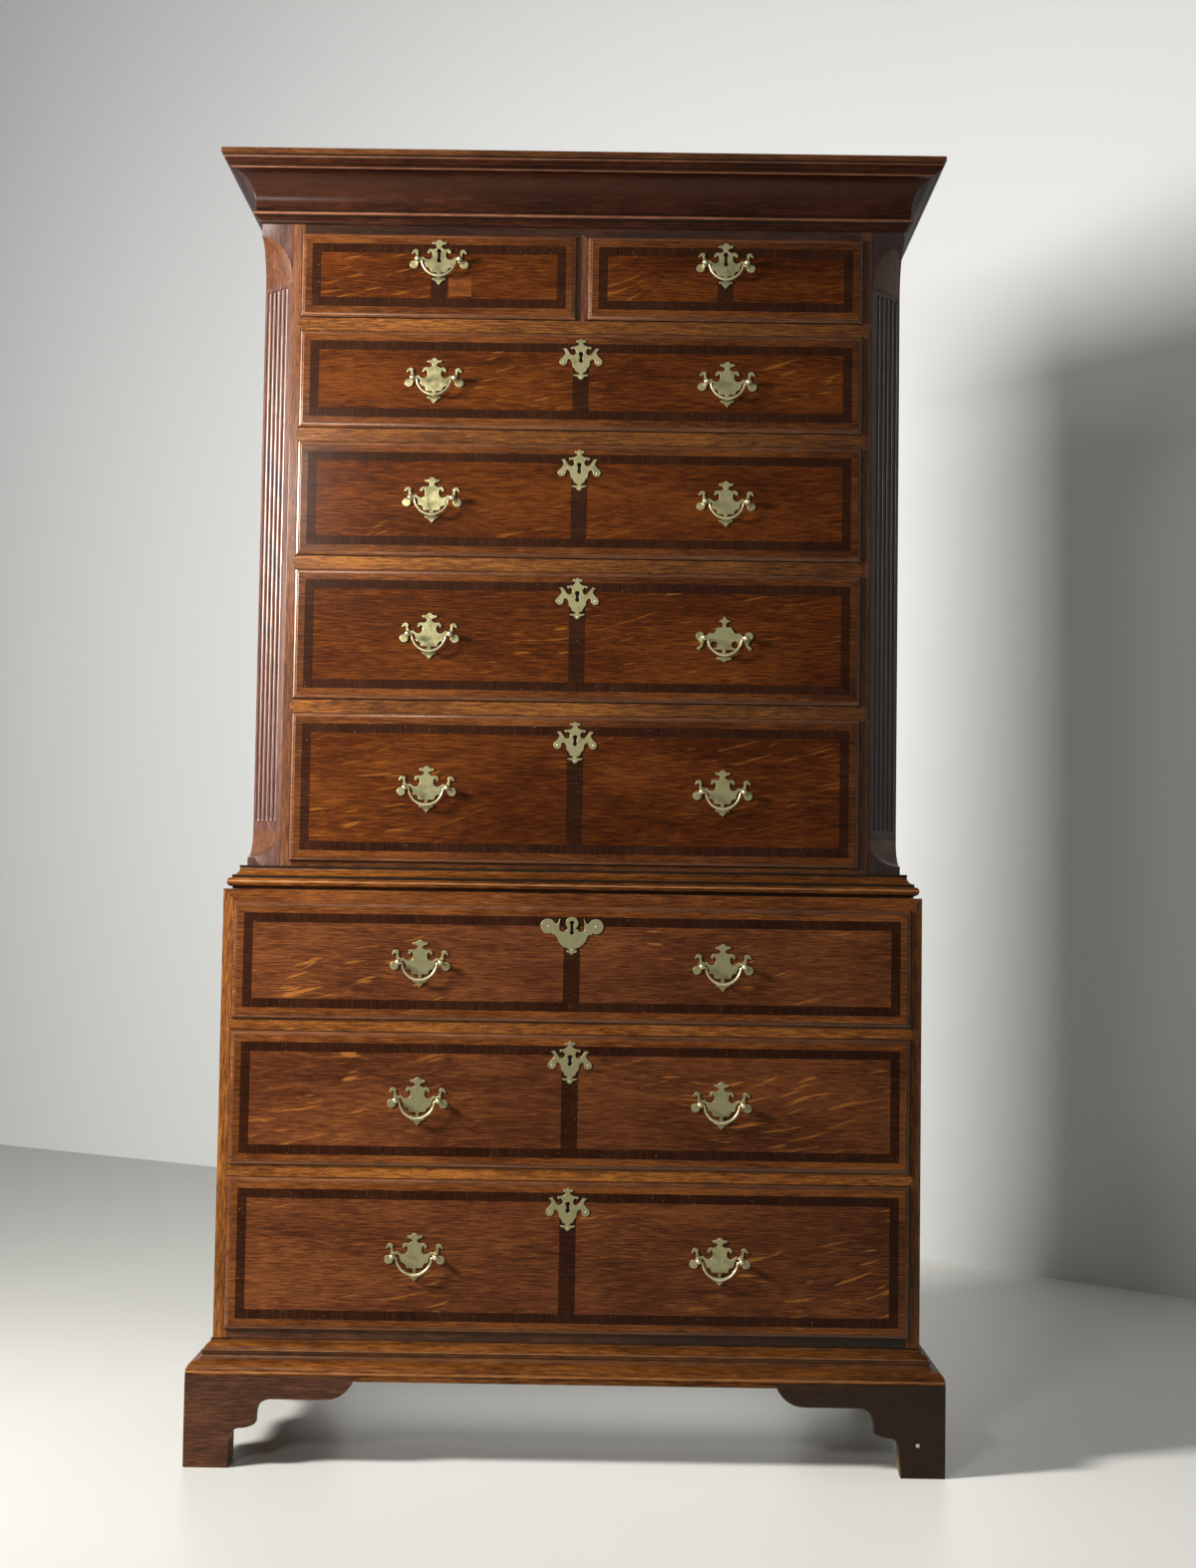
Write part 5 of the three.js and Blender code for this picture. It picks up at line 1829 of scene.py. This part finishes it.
@dataclass
class Brassware:
    """All the brass: each plate, bail and escutcheon is modelled once and copied to its place."""

    handle: Handle = field(default_factory=Handle)
    half: float = 31.6 * MM
    round_half: float = 45.8 * MM
    thick: float = 1.4 * MM
    pins: tuple[Point, ...] = ((25.9, -3.8), (-25.9, -3.8), (0, -27))
    round_pins: tuple[Point, ...] = ((34.8, 10), (-34.8, 10), (0, -24))
    bail_top: float = 1.15 * MM

    def escutcheon(self, name: str, rings: Sequence[Ring], half: float, key: Point,
                   pins: Sequence[Point]) -> Object:
        """A pierced keyhole plate with its three pins, in its drawing place.

        Args:
            name: Its name.
            rings: The right half of its outline.
            half: Half its width.
            key: The keyhole's height, and how far its middle stands above the plate's.
            pins: The pins' places in millimetres.

        Returns:
            The plate with its pins.
        """
        cut = self.handle.cut_plate(name, rings, half, [self.handle.keyhole_outline(*key)], self.thick)
        return joined(name, [cut, *(self.handle.pin(x * MM, z * MM, self.thick) for x, z in pins)])

    def patterns(self) -> dict[str, Object]:
        """One of each casting, in its drawing place.

        Returns:
            The castings by kind.
        """
        handle = self.handle
        made = {kind: handle.plate(kind) for kind in ("plain", "keyed", "odd")}
        made["bail"] = handle.bail()
        made["batwing"] = self.escutcheon("escutcheon", ESCUTCHEON, self.half, LOW_KEY, self.pins)
        made["round"] = self.escutcheon(
            "escutcheon_round", ROUND_ESCUTCHEON, self.round_half, TALL_KEY, self.round_pins)
        return made

    def build(self, drawers: Sequence[Drawer]) -> None:
        """Copies the castings to every drawer.

        Args:
            drawers: The drawers, which give each casting its place.
        """
        made = self.patterns()
        for drawer in drawers:
            for node in sorted(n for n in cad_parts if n.startswith(f"{drawer.name}_")):
                low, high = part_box(node)
                x = (low[0] + high[0]) / 2
                if node.endswith("plate"):
                    kind = "plain" if drawer.long else "keyed"
                    if node == ODD_PLATE_NODE:
                        kind = "odd"
                    top = self.handle.odd_top if kind == "odd" else self.handle.top
                    place = (x, drawer.face - HAIR, high[2] - top * self.handle.half)
                    piece = copied(made[kind], f"{node}_cast", Matrix.Translation(place))
                    fitted(piece, drawer.body, "aged_brass", node)
                if node.endswith("bail"):
                    place = (x, drawer.face - HAIR, high[2] - self.bail_top)
                    piece = copied(made["bail"], f"{node}_rod", Matrix.Translation(place))
                    fitted(piece, node, "aged_brass", node)
            if drawer.long:
                kind = "round" if drawer.name == ROUND_LOCK_DRAWER else "batwing"
                place = (drawer.middle, drawer.face, drawer.key_place)
                piece = copied(made[kind], f"{drawer.name}_escutcheon", Matrix.Translation(place))
                fitted(piece, drawer.body, "aged_brass")
        for pattern in made.values():
            bpy.data.objects.remove(pattern, do_unlink=True)


# Carcases


@dataclass
class FaceFrame:
    """Stile strips and rails with pointed joints round the drawers, and the runners behind them."""

    case: Case
    name: str
    drawers: Sequence[Drawer]
    outer: float
    stile_wood: Wood
    tip: float = 9 * MM
    depth: float = 22 * MM
    rail_depth: float = 47.3 * MM
    runner: float = 40 * MM
    pointed: float = 8.6 * MM
    centre: float = 12.8 * MM
    # How far the band of grime and painted shade reaches beyond each lip
    grime_and_shade: float = 1.1 * MM
    guide: float = 8 * MM

    def __post_init__(self) -> None:
        """Reads the frame's heights from its node and its openings from the drawers."""
        self.node = f"{self.name}_face_frame"
        low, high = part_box(self.node)
        self.low, self.high = low[2], high[2]
        self.runner_end = high[1]
        self.inner = max(drawer.x1 for drawer in self.drawers) - self.case.cover
        self.runner_half = high[0] if self.name == "upper" else self.inner - HAIR
        spans = {(round(d.z0, 5), round(d.z1, 5)) for d in self.drawers}
        self.rows = sorted((z0 + self.case.cover, z1 - self.case.cover) for z0, z1 in spans)
        self.rails = [(below[1], above[0]) for below, above in zip(self.rows, self.rows[1:])]

    def flat(self, name: str, outline: Sequence[Point]) -> Object:
        """A piece of the frame sawn to an outline seen from the front."""
        place = placed(RIGHT, UP, (0, self.case.front + self.depth / 2, 0))
        return sawn(f"{self.name}_{name}", [outline], self.depth, PLANED, place)

    def grimed_and_shaded(self, piece: Object, wood: Material, places: Sequence[Vector],
               dark: Callable[[Vector], bool]) -> Object:
        """Scores lines beside the drawers' lips and darkens the wood there, as grime and painted shade under
        the lips.

        Args:
            piece: A piece of the frame.
            wood: Its wood.
            places: Where the lines run, square to each vector at its end.
            dark: Whether a point lies in the dark.

        Returns:
            The same piece.
        """
        with editing(piece):
            for place in places:
                bpy.ops.mesh.select_all(action="SELECT")
                bpy.ops.mesh.bisect(plane_co=place, plane_no=place.normalized())
        dressed(piece, wood, PALETTE.wood(GRIME_AND_SHADE, Grain.ACROSS))
        face = self.case.front + HAIR
        # Painted shade and grime: the front faces beside the lips take the dark wood
        assigned(piece, lambda m, n: int(m.y < face and n.y < -NEARLY and dark(m)))
        return piece

    def stile(self) -> Object:
        """The right stile strip, notched for the points of the rails.

        Returns:
            The strip.
        """
        outline = [(self.inner, self.low), (self.outer, self.low), (self.outer, self.high)]
        if self.name == "lower":
            outline.append((self.inner, self.high - (self.outer - self.inner)))
        else:
            outline.append((self.inner, self.high))
        for low, high in reversed(self.rails):
            outline += [(self.inner, high), (self.inner + self.tip, (low + high) / 2), (self.inner, low)]
        edge = self.inner + self.case.cover + self.grime_and_shade
        wood = PALETTE.wood(self.stile_wood, Grain.UPRIGHT, seed=2)
        low, high = self.rows[0][0] - self.case.cover, self.rows[-1][1] + self.case.cover
        places = [Vector((edge, 0, 0)), Vector((0, 0, low)), Vector((0, 0, high))]
        stile = self.flat("right_stile", outline)
        return self.grimed_and_shaded(stile, wood, places, lambda m: m.x < edge and low < m.z < high)

    def rail(self, index: int, low: float, high: float, notched: bool) -> Object:
        """A rail with pointed ends, its deeper part behind it and a runner behind each end.

        Args:
            index: The rail's number from the bottom.
            low: Its lower edge.
            high: Its upper edge.
            notched: Whether its upper edge takes the point of the muntin.

        Returns:
            The rail with its runners.
        """
        half, middle = self.inner, (low + high) / 2
        right = [(half, low), (half + self.tip, middle), (half, high)]
        if notched:
            right += [(self.pointed, high), (0, high - self.tip)]
        outline = right + [(-x, z) for x, z in reversed(right) if x > 0]
        back = self.case.front + self.rail_depth
        runner = board("runner", (half - self.runner, back, low), (self.runner_half, self.runner_end, high))
        deep = board("deep", (-half, self.case.front + self.depth, low), (half, back, high), 0)
        pieces = [self.flat("rail", outline), deep, runner, mirrored(runner, "left_runner")]
        whole = joined(f"{self.name}_rail_{index + 1}", pieces)
        first, last = low + self.case.cover + self.grime_and_shade, high - self.case.cover - self.grime_and_shade
        wood = PALETTE.wood(RAIL if self.name == "upper" else LOW_RAIL, Grain.ACROSS, seed=index + 1.5)
        places = [Vector((0, 0, first)), Vector((0, 0, last))]
        return self.grimed_and_shaded(whole, wood, places, lambda m: abs(m.x) < half and not first < m.z < last)

    def muntin(self) -> list[Object]:
        """The muntin between the short drawers, the rail over them, and the centre runner with its guide.

        Returns:
            Those four pieces.
        """
        low, high = self.rows[-1]
        lower, wide, tip = self.rails[-1][0], self.centre, self.tip
        points = [(0, low - tip), (self.pointed, low), (wide, low)]
        points += [(wide, high), (self.pointed, high), (0, high + tip)]
        points += [(-x, z) for x, z in reversed(points) if x > 0]
        post = dressed(self.flat("muntin", points), PALETTE.wood(self.stile_wood, Grain.UPRIGHT, seed=5))
        right = [(self.inner, high), (self.inner, self.high), (-self.inner, self.high), (-self.inner, high)]
        right += [(-self.pointed, high), (0, high + tip), (self.pointed, high)]
        header = dressed(self.flat("top_rail", right), PALETTE.wood(MAHOGANY, Grain.ACROSS, seed=7))
        front = self.case.front + self.depth
        runner = board("upper_centre_runner", (-self.runner, self.case.front + self.rail_depth, lower),
                       (self.runner, self.runner_end, low))
        guide = board("upper_centre_guide", (-wide, front, low + HAIR),
                      (wide, self.runner_end, low + self.guide))
        for piece in (runner, guide):
            dressed(piece, PALETTE.wood(LINING, Grain.DEEP, seed=3))
        return [post, header, runner, guide]

    def lower_top_rail(self) -> Object:
        """The front strip over the drawers of the lower carcase, mitred into the stile strips.

        Returns:
            The strip.
        """
        low, wide = self.rows[-1][1], self.outer - self.inner
        right = [(self.inner, low), (self.inner, self.high - wide), (self.outer, self.high)]
        outline = right + [(-x, z) for x, z in reversed(right)]
        return dressed(self.flat("top_rail", outline), PALETTE.wood(LOW_MARGIN, Grain.ACROSS, seed=6))

    def build(self) -> None:
        """Builds the frame and hangs it on the carcase."""
        stile = fitted(self.stile(), "carcase", "oak_case", self.node)
        fitted(mirrored(stile, f"{self.name}_left_stile"), "carcase", "oak_case", self.node)
        last = len(self.rails) - 1
        for index, (low, high) in enumerate(self.rails):
            notched = self.name == "upper" and index == last
            fitted(self.rail(index, low, high, notched), "carcase", "oak_case", self.node)
        extra = self.muntin() if self.name == "upper" else [self.lower_top_rail()]
        for piece in extra:
            fitted(piece, "carcase", "oak_case", self.node)


@dataclass
class Column:
    """A canted corner post with five flutes between two scooped stops."""

    cant: float = 47 * MM
    inner: float = 24 * MM
    top_stop: Point = (19.5 * MM, 68 * MM)
    bottom_stop: Point = (11.7 * MM, 40.3 * MM)
    flutes: int = 5
    pitch: float = 10.5 * MM
    width: float = 7.5 * MM
    sunk: float = 3 * MM
    margin: float = 10.4 * MM
    top_drop: float = 4.5 * MM
    bottom_lift: float = 13 * MM
    foot: float = 34 * MM
    cutter: float = 4
    edge: float = 0.5 * MM
    edge_angle: float = 30
    scoop_steps: int = 14
    rod_turns: tuple[int, ...] = tuple(range(10, 91, 16))
    rod_sides: int = 28
    scoop_slope: Point = (HARDLY, 0.9999)
    scoop_skew: float = 0.02

    def __post_init__(self) -> None:
        """Reads the post's corner and the span between the waist and the cornice."""
        low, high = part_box("upper_right_column")
        self.low, self.high = low, high
        self.start = low[2] + self.foot + self.bottom_stop[0]
        self.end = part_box("cornice")[0][2] - self.top_stop[0]

    def stopped_chamfer(self) -> Object:
        """The wood that is taken off the corner, scooped out at both ends.

        Returns:
            The cutter.
        """
        deep = self.cant / math.sqrt(2)
        rise, drop = self.bottom_stop[1], self.top_stop[1]
        outline = [(-OVERRUN, self.start)]
        turns = [i / self.scoop_steps * math.pi / 2 for i in range(self.scoop_steps + 1)]
        outline += [(deep * math.sin(a), self.start + rise * (1 - math.cos(a))) for a in turns]
        outline += [(deep * math.cos(a), self.end - drop * (1 - math.sin(a))) for a in turns]
        outline.append((-OVERRUN, self.end))
        place = placed((INWARD - RIGHT).normalized(), UP, (self.high[0], self.low[1], 0))
        return sawn("chamfer", [outline], self.cutter * self.cant, 0, place)

    def flute(self, place: float) -> Object:
        """The wood that is taken out of one flute, a round-ended rod.

        Args:
            place: How far its middle is from the front arris.

        Returns:
            The rod.
        """
        radius = (self.width ** 2 / 4 + self.sunk ** 2) / (2 * self.sunk)
        foot = self.start + self.bottom_stop[1] + self.bottom_lift + radius
        head = self.end - self.top_stop[1] - self.top_drop - radius
        turns = [math.radians(a) for a in self.rod_turns]
        stations = [(foot - radius * math.cos(a), radius * math.sin(a)) for a in turns]
        stations += [(head + radius * math.cos(a), radius * math.sin(a)) for a in reversed(turns)]
        rod = turned("rod", stations, self.rod_sides)
        lift, along = (radius - self.sunk) / math.sqrt(2), place / math.sqrt(2)
        rod.location = (self.low[0] + along + lift, self.low[1] + along - lift, 0)
        return settle(rod)

    def build(self) -> None:
        """Builds both columns and hangs them on the carcase."""
        x0, x1, y0, y1 = self.low[0], self.high[0], self.low[1], self.high[1]
        outline = [(x0, y0), (x1, y0), (x1, y1), (x1 - self.inner, y1), (x0, y0 + self.inner)]
        middle = (self.low[2] + self.high[2]) / 2
        place = placed(RIGHT, INWARD, (0, 0, middle))
        post = sawn("upper_right_column_post", [outline], self.high[2] - self.low[2], 0, place)
        carved(post, self.stopped_chamfer())
        soften(post, self.edge, angle=self.edge_angle)
        rods = [self.flute(self.margin + self.pitch * (i + 0.5)) for i in range(self.flutes)]
        carved(post, joined("rods", rods))
        soften(post, 0)
        dressed(post, PALETTE.wood(COLUMN, Grain.UPRIGHT, seed=1), PALETTE.wood(STOP, Grain.UPRIGHT, seed=2))
        low, high = self.start, self.end
        rise, drop = self.bottom_stop[1], self.top_stop[1]

        def scooped(m: Vector, n: Vector) -> int:
            """1 for a face of the scooped stops, which slope and keep square to the corner.

            Args:
                m: Its middle.
                n: Its normal.

            Returns:
                1 or 0.
            """
            ends = low < m.z < low + rise or high - drop < m.z < high
            level, steep = self.scoop_slope
            return int(ends and level < abs(n.z) < steep and abs(n.x + n.y) < self.scoop_skew)

        assigned(post, scooped)
        slot = "dark_mahogany_brown"
        fitted(post, "carcase", slot, "upper_right_column")
        fitted(mirrored(post, "upper_left_column_post"), "carcase", slot, "upper_left_column")


@dataclass
class Foot:
    """A bracket foot: shaped boards mitred at the corner, with a block behind them."""

    length: float = 240 * MM
    sole: float = 64.5 * MM
    thick: float = 24 * MM
    ankle: float = 34 * MM
    instep: Point = (80 * MM, 56 * MM)
    cusp: Point = (101 * MM, 62 * MM)
    cove: Point = (124 * MM, 97 * MM)
    flat_end: float = 200 * MM
    curl: float = 226 * MM
    rise: float = 123 * MM
    taper: float = 1.5 * MM
    block: float = 38 * MM
    back_length: float = 150 * MM
    back_thick: float = 20 * MM
    back_low: float = 70 * MM
    nail: Point = (502 * MM, 46 * MM)
    nail_half: float = 3.2 * MM
    nail_step: int = 20
    nail_turning: tuple[Point, ...] = ((-8, 1.2), (-1.3, 1.2), (-1.2, 3), (-0.4, 3), (-0.1, 2.2))
    arris: float = 0.9 * MM
    back_edge: float = 0.8 * MM

    def __post_init__(self) -> None:
        """Reads the foot's corner and height."""
        low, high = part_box("front_left_foot")
        self.corner = Vector((low[0], low[1], 0))
        self.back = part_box("back_left_foot")[1][1]
        self.top = high[2]

    @staticmethod
    def sweep(a: Point, pull: Point, b: Point, steps: int = 8) -> list[Point]:
        """Points on a curve from one point to another, drawn towards a third.

        Args:
            a: The first point.
            pull: The third.
            b: The last point.
            steps: How many it takes.

        Returns:
            The points.
        """
        shares = [i / steps for i in range(1, steps + 1)]
        return [tuple((1 - t) ** 2 * p + 2 * t * (1 - t) * q + t * t * r for p, q, r in zip(a, pull, b))
                for t in shares]

    def bracket_outline(self) -> list[Point]:
        """The shaped bracket, from the outer corner inwards.

        Returns:
            Its outline.
        """
        start = (self.sole, self.ankle)
        points = [(self.taper, 0), (self.sole - self.taper, 0), start]
        points += self.sweep(start, (self.sole + self.taper, self.instep[1]), self.instep)
        middle = (self.instep[0] + self.cusp[0]) / 2
        points += self.sweep(self.instep, (middle, self.instep[1]), self.cusp)
        points += self.sweep(self.cusp, (self.cusp[0] - self.taper, self.cove[1]), self.cove)
        flat = (self.flat_end, self.cove[1])
        points += [flat, *self.sweep(flat, (self.curl, self.cove[1]), (self.length, self.rise))]
        return points + [(self.length, self.top), (0, self.top), (0, self.ankle)]

    def bracket(self, name: str, along: Vector, origin: Vector, away: Vector,
                holes: Sequence[Sequence[Point]] = ()) -> Object:
        """One bracket board, mitred at the corner of the foot.

        Args:
            name: The board's name.
            along: The way it runs from the corner.
            origin: The corner, in the middle of the board's thickness.
            away: The side of the mitre that is dropped, or nothing for a square end.
            holes: Holes through the board.

        Returns:
            The bracket.
        """
        piece = sawn(name, [self.bracket_outline(), *holes], self.thick, 0, placed(along, UP, origin))
        if away.length:
            halve(piece, self.corner, away)
        return soften(piece, self.arris)

    def front(self, nailed: bool = False) -> Object:
        """The left front foot, with or without the hole for the nail.

        Args:
            nailed: Whether it has the hole.

        Returns:
            The foot.
        """
        half = self.thick / 2
        x, z = -self.corner.x - self.nail[0], self.nail[1]
        turns = [math.radians(a) for a in range(0, 360, self.nail_step)]
        holes = [[(x + self.nail_half * math.cos(a), z + self.nail_half * math.sin(a)) for a in turns]]
        middle = self.corner + INWARD * half
        face = self.bracket("face", RIGHT, middle, INWARD - RIGHT, holes if nailed else ())
        side = self.bracket("side", INWARD, self.corner + RIGHT * half, RIGHT - INWARD)
        dressed(face, PALETTE.wood(FOOT, Grain.ACROSS, seed=1))
        dressed(side, PALETTE.wood(FOOT, Grain.DEEP, seed=2))
        low = self.corner + Vector((self.thick, self.thick, self.taper))
        block = board("block", low, low + Vector((self.block, self.block, self.top - 2 * self.taper)))
        dressed(block, PALETTE.wood(LINING, Grain.UPRIGHT, seed=1))
        return joined("front_left_bracket_foot", [face, side, block])

    def rear(self) -> Object:
        """The left back foot: a shaped side bracket and a plain board across the back.

        Returns:
            The foot.
        """
        corner = Vector((self.corner.x, self.back, 0))
        side = self.bracket("side", FRONT, corner + RIGHT * self.thick / 2, Vector((0, 0, 0)))
        dressed(side, PALETTE.wood(FOOT, Grain.DEEP, seed=3))
        outline = [(self.taper, 0), (self.sole, 0), (self.sole, self.back_low / 2),
                   (self.back_length, self.back_low), (self.back_length, self.top), (self.taper, self.top)]
        middle = corner - Vector((0, self.taper + self.back_thick / 2, 0))
        plain = sawn("plain", [outline], self.back_thick, self.back_edge, placed(RIGHT, UP, middle))
        dressed(plain, PALETTE.wood(BACKS, Grain.ACROSS, seed=2))
        far = Vector((self.corner.x + self.thick, self.back - self.taper - self.back_thick, self.taper))
        high = far + Vector((self.block, 0, self.top - 2 * self.taper))
        block = board("block", far - Vector((0, self.block, 0)), high)
        dressed(block, PALETTE.wood(LINING, Grain.UPRIGHT, seed=2))
        return joined("back_left_bracket_foot", [side, plain, block])

    def build(self) -> None:
        """Builds the four feet and hangs them on the carcase."""
        slot = "dark_oak_moulding"
        front, nailed, rear = self.front(), self.front(nailed=True), self.rear()
        feet = {"front_left_foot": front, "front_right_foot": mirrored(nailed, "front_right_bracket_foot"),
                "back_left_foot": rear, "back_right_foot": mirrored(rear, "back_right_bracket_foot")}
        bpy.data.objects.remove(nailed, do_unlink=True)
        for node, foot in feet.items():
            fitted(foot, "carcase", slot, node)
        head = turned("nail_head", in_mm(self.nail_turning), sides=16)
        head.matrix_world = placed(RIGHT, UP, (self.nail[0], self.corner.y, self.nail[1]))
        fitted(dressed(settle(head), PALETTE.brass(PALE_NAIL)), "carcase", slot)


@dataclass
class Mouldings:
    """The cornice, waist and base mouldings, the boards that carry them and the strips between the feet."""

    strip: Point = (7 * MM, 22 * MM)
    base_wide: float = 52 * MM
    top_board_thick: float = 22 * MM
    slot: str = "dark_oak_moulding"

    def run(self, moulding: Run, wood: Wood, bottom: float, case: Case, slot: str, node: str) -> None:
        """Makes the three lengths of a moulding and hangs them on the carcase.

        Args:
            moulding: The moulding.
            wood: Its wood.
            bottom: The height of its foot.
            case: The case it goes round.
            slot: The slot of its pieces.
            node: The node they replace.
        """
        for piece in moulding.lengths(bottom, case.half, case.front, case.back):
            grain = Grain.ACROSS if piece.name.endswith("front") else Grain.DEEP
            woods = [wood, *(zone[0] for zone in moulding.zones)]
            dressed(piece, *(PALETTE.wood(kind, grain, seed=1) for kind in woods))
            zones = [(low * MM + bottom, high * MM + bottom) for _, low, high in moulding.zones]
            assigned(piece, lambda m, n: next(
                (i for i, (low, high) in enumerate(zones, 1) if low < m.z < high), 0))
            fitted(piece, "carcase", slot, node)

    def boards(self) -> None:
        """The lower carcase's top and bottom boards, the base's back rail and the strips between the feet."""
        lid, base = "lower_top_and_waist_moulding", "lower_bottom_and_base_moulding"
        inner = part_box("drawer_8")[1][0] - LOWER.cover - HAIR
        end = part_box("upper_face_frame")[1][1]
        front, top = LOWER.front, LOWER.high + HAIR
        last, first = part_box("drawer_6")[1][2] - LOWER.cover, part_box("drawer_8")[0][2] + LOWER.cover
        lower = LOWER.low - HAIR
        foot = Foot()
        strip_half = -foot.corner.x - foot.length - HAIR
        strip_low, face = foot.top + HAIR - self.strip[0], foot.corner.y
        long = foot.length + HAIR
        pieces = (
            ("lower_top_board", (-inner, front + self.top_board_thick + HAIR, last), (inner, end, top),
             CASE, lid),
            ("lower_bottom_board", (-inner, front, lower - MM), (inner, end, first), FOOT, base),
            ("base_back_rail", (self.base_wide - LOWER.half, LOWER.back - self.base_wide, foot.top + HAIR),
             (LOWER.half - self.base_wide, LOWER.back, lower), BACKS, base),
            ("apron_front", (-strip_half, face, strip_low), (strip_half, face + self.strip[1], foot.top),
             MOULDING, base),
            ("apron_left", (foot.corner.x, face + long, strip_low),
             (foot.corner.x + self.strip[1], LOWER.back - long, foot.top), MOULDING, base),
        )
        for name, low, high, wood, node in pieces:
            grain = Grain.DEEP if name == "apron_left" else Grain.ACROSS
            arris = ROUNDED if wood is MOULDING else ARRIS
            piece = dressed(board(name, low, high, arris), PALETTE.wood(wood, grain, seed=3))
            fitted(piece, "carcase", self.slot, node)
            if name == "apron_left":
                fitted(mirrored(piece, "apron_right"), "carcase", self.slot, node)

    def build(self) -> None:
        """Builds all the mouldings."""
        base, waist = LOWER.low - HAIR - BASE_RUN.rise, LOWER.high + HAIR
        self.run(BASE_RUN, MOULDING, base, LOWER, self.slot, "lower_bottom_and_base_moulding")
        self.run(WAIST_RUN, MOULDING, waist, UPPER, self.slot, "lower_top_and_waist_moulding")
        self.run(CORNICE_RUN, COVE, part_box("cornice")[0][2], UPPER, "dark_mahogany_brown", "cornice")
        self.boards()


PLAIN_BOARDS = {
    "lower_left_side": (CASE, Grain.UPRIGHT, 4.0), "lower_right_side": (CASE, Grain.UPRIGHT, 5.0),
    "upper_left_side": (CASE, Grain.UPRIGHT, 6.0), "upper_right_side": (CASE, Grain.UPRIGHT, 7.0),
    "upper_top_board": (BACKS, Grain.ACROSS, 1.0), "upper_bottom_board": (CASE, Grain.ACROSS, 8.0),
    "lower_back_boards": (BACKS, Grain.UPRIGHT, 3.0), "upper_back_boards": (BACKS, Grain.UPRIGHT, 4.0),
}


def dress_boards() -> None:
    """Gives the plain boards that stay as packed their wood."""
    for name, (wood, grain, seed) in PLAIN_BOARDS.items():
        dressed(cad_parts[name], PALETTE.wood(wood, grain, seed))


def main() -> None:
    """Builds the studio and the chest, piece by piece."""
    logging.basicConfig(level=logging.INFO, format="%(name)s: %(message)s")
    bpy.ops.object.select_all(action="DESELECT")
    Studio().build()
    upper = [Drawer(name, UPPER, seed, patch=PATCHES.get(name, UNPATCHED)) for name, seed in UPPER_DRAWERS]
    lower = [Drawer(name, LOWER, seed, patch=PATCHES.get(name, UNPATCHED)) for name, seed in LOWER_DRAWERS]
    for drawer in upper + lower:
        drawer.build()
    Brassware().build(upper + lower)
    FaceFrame(UPPER, "upper", upper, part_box("upper_right_column")[0][0] - HAIR, STRIP).build()
    FaceFrame(LOWER, "lower", lower, LOWER.half, RAIL).build()
    Column().build()
    Foot().build()
    Mouldings().build()
    dress_boards()


if __name__ == "__main__":
    main()
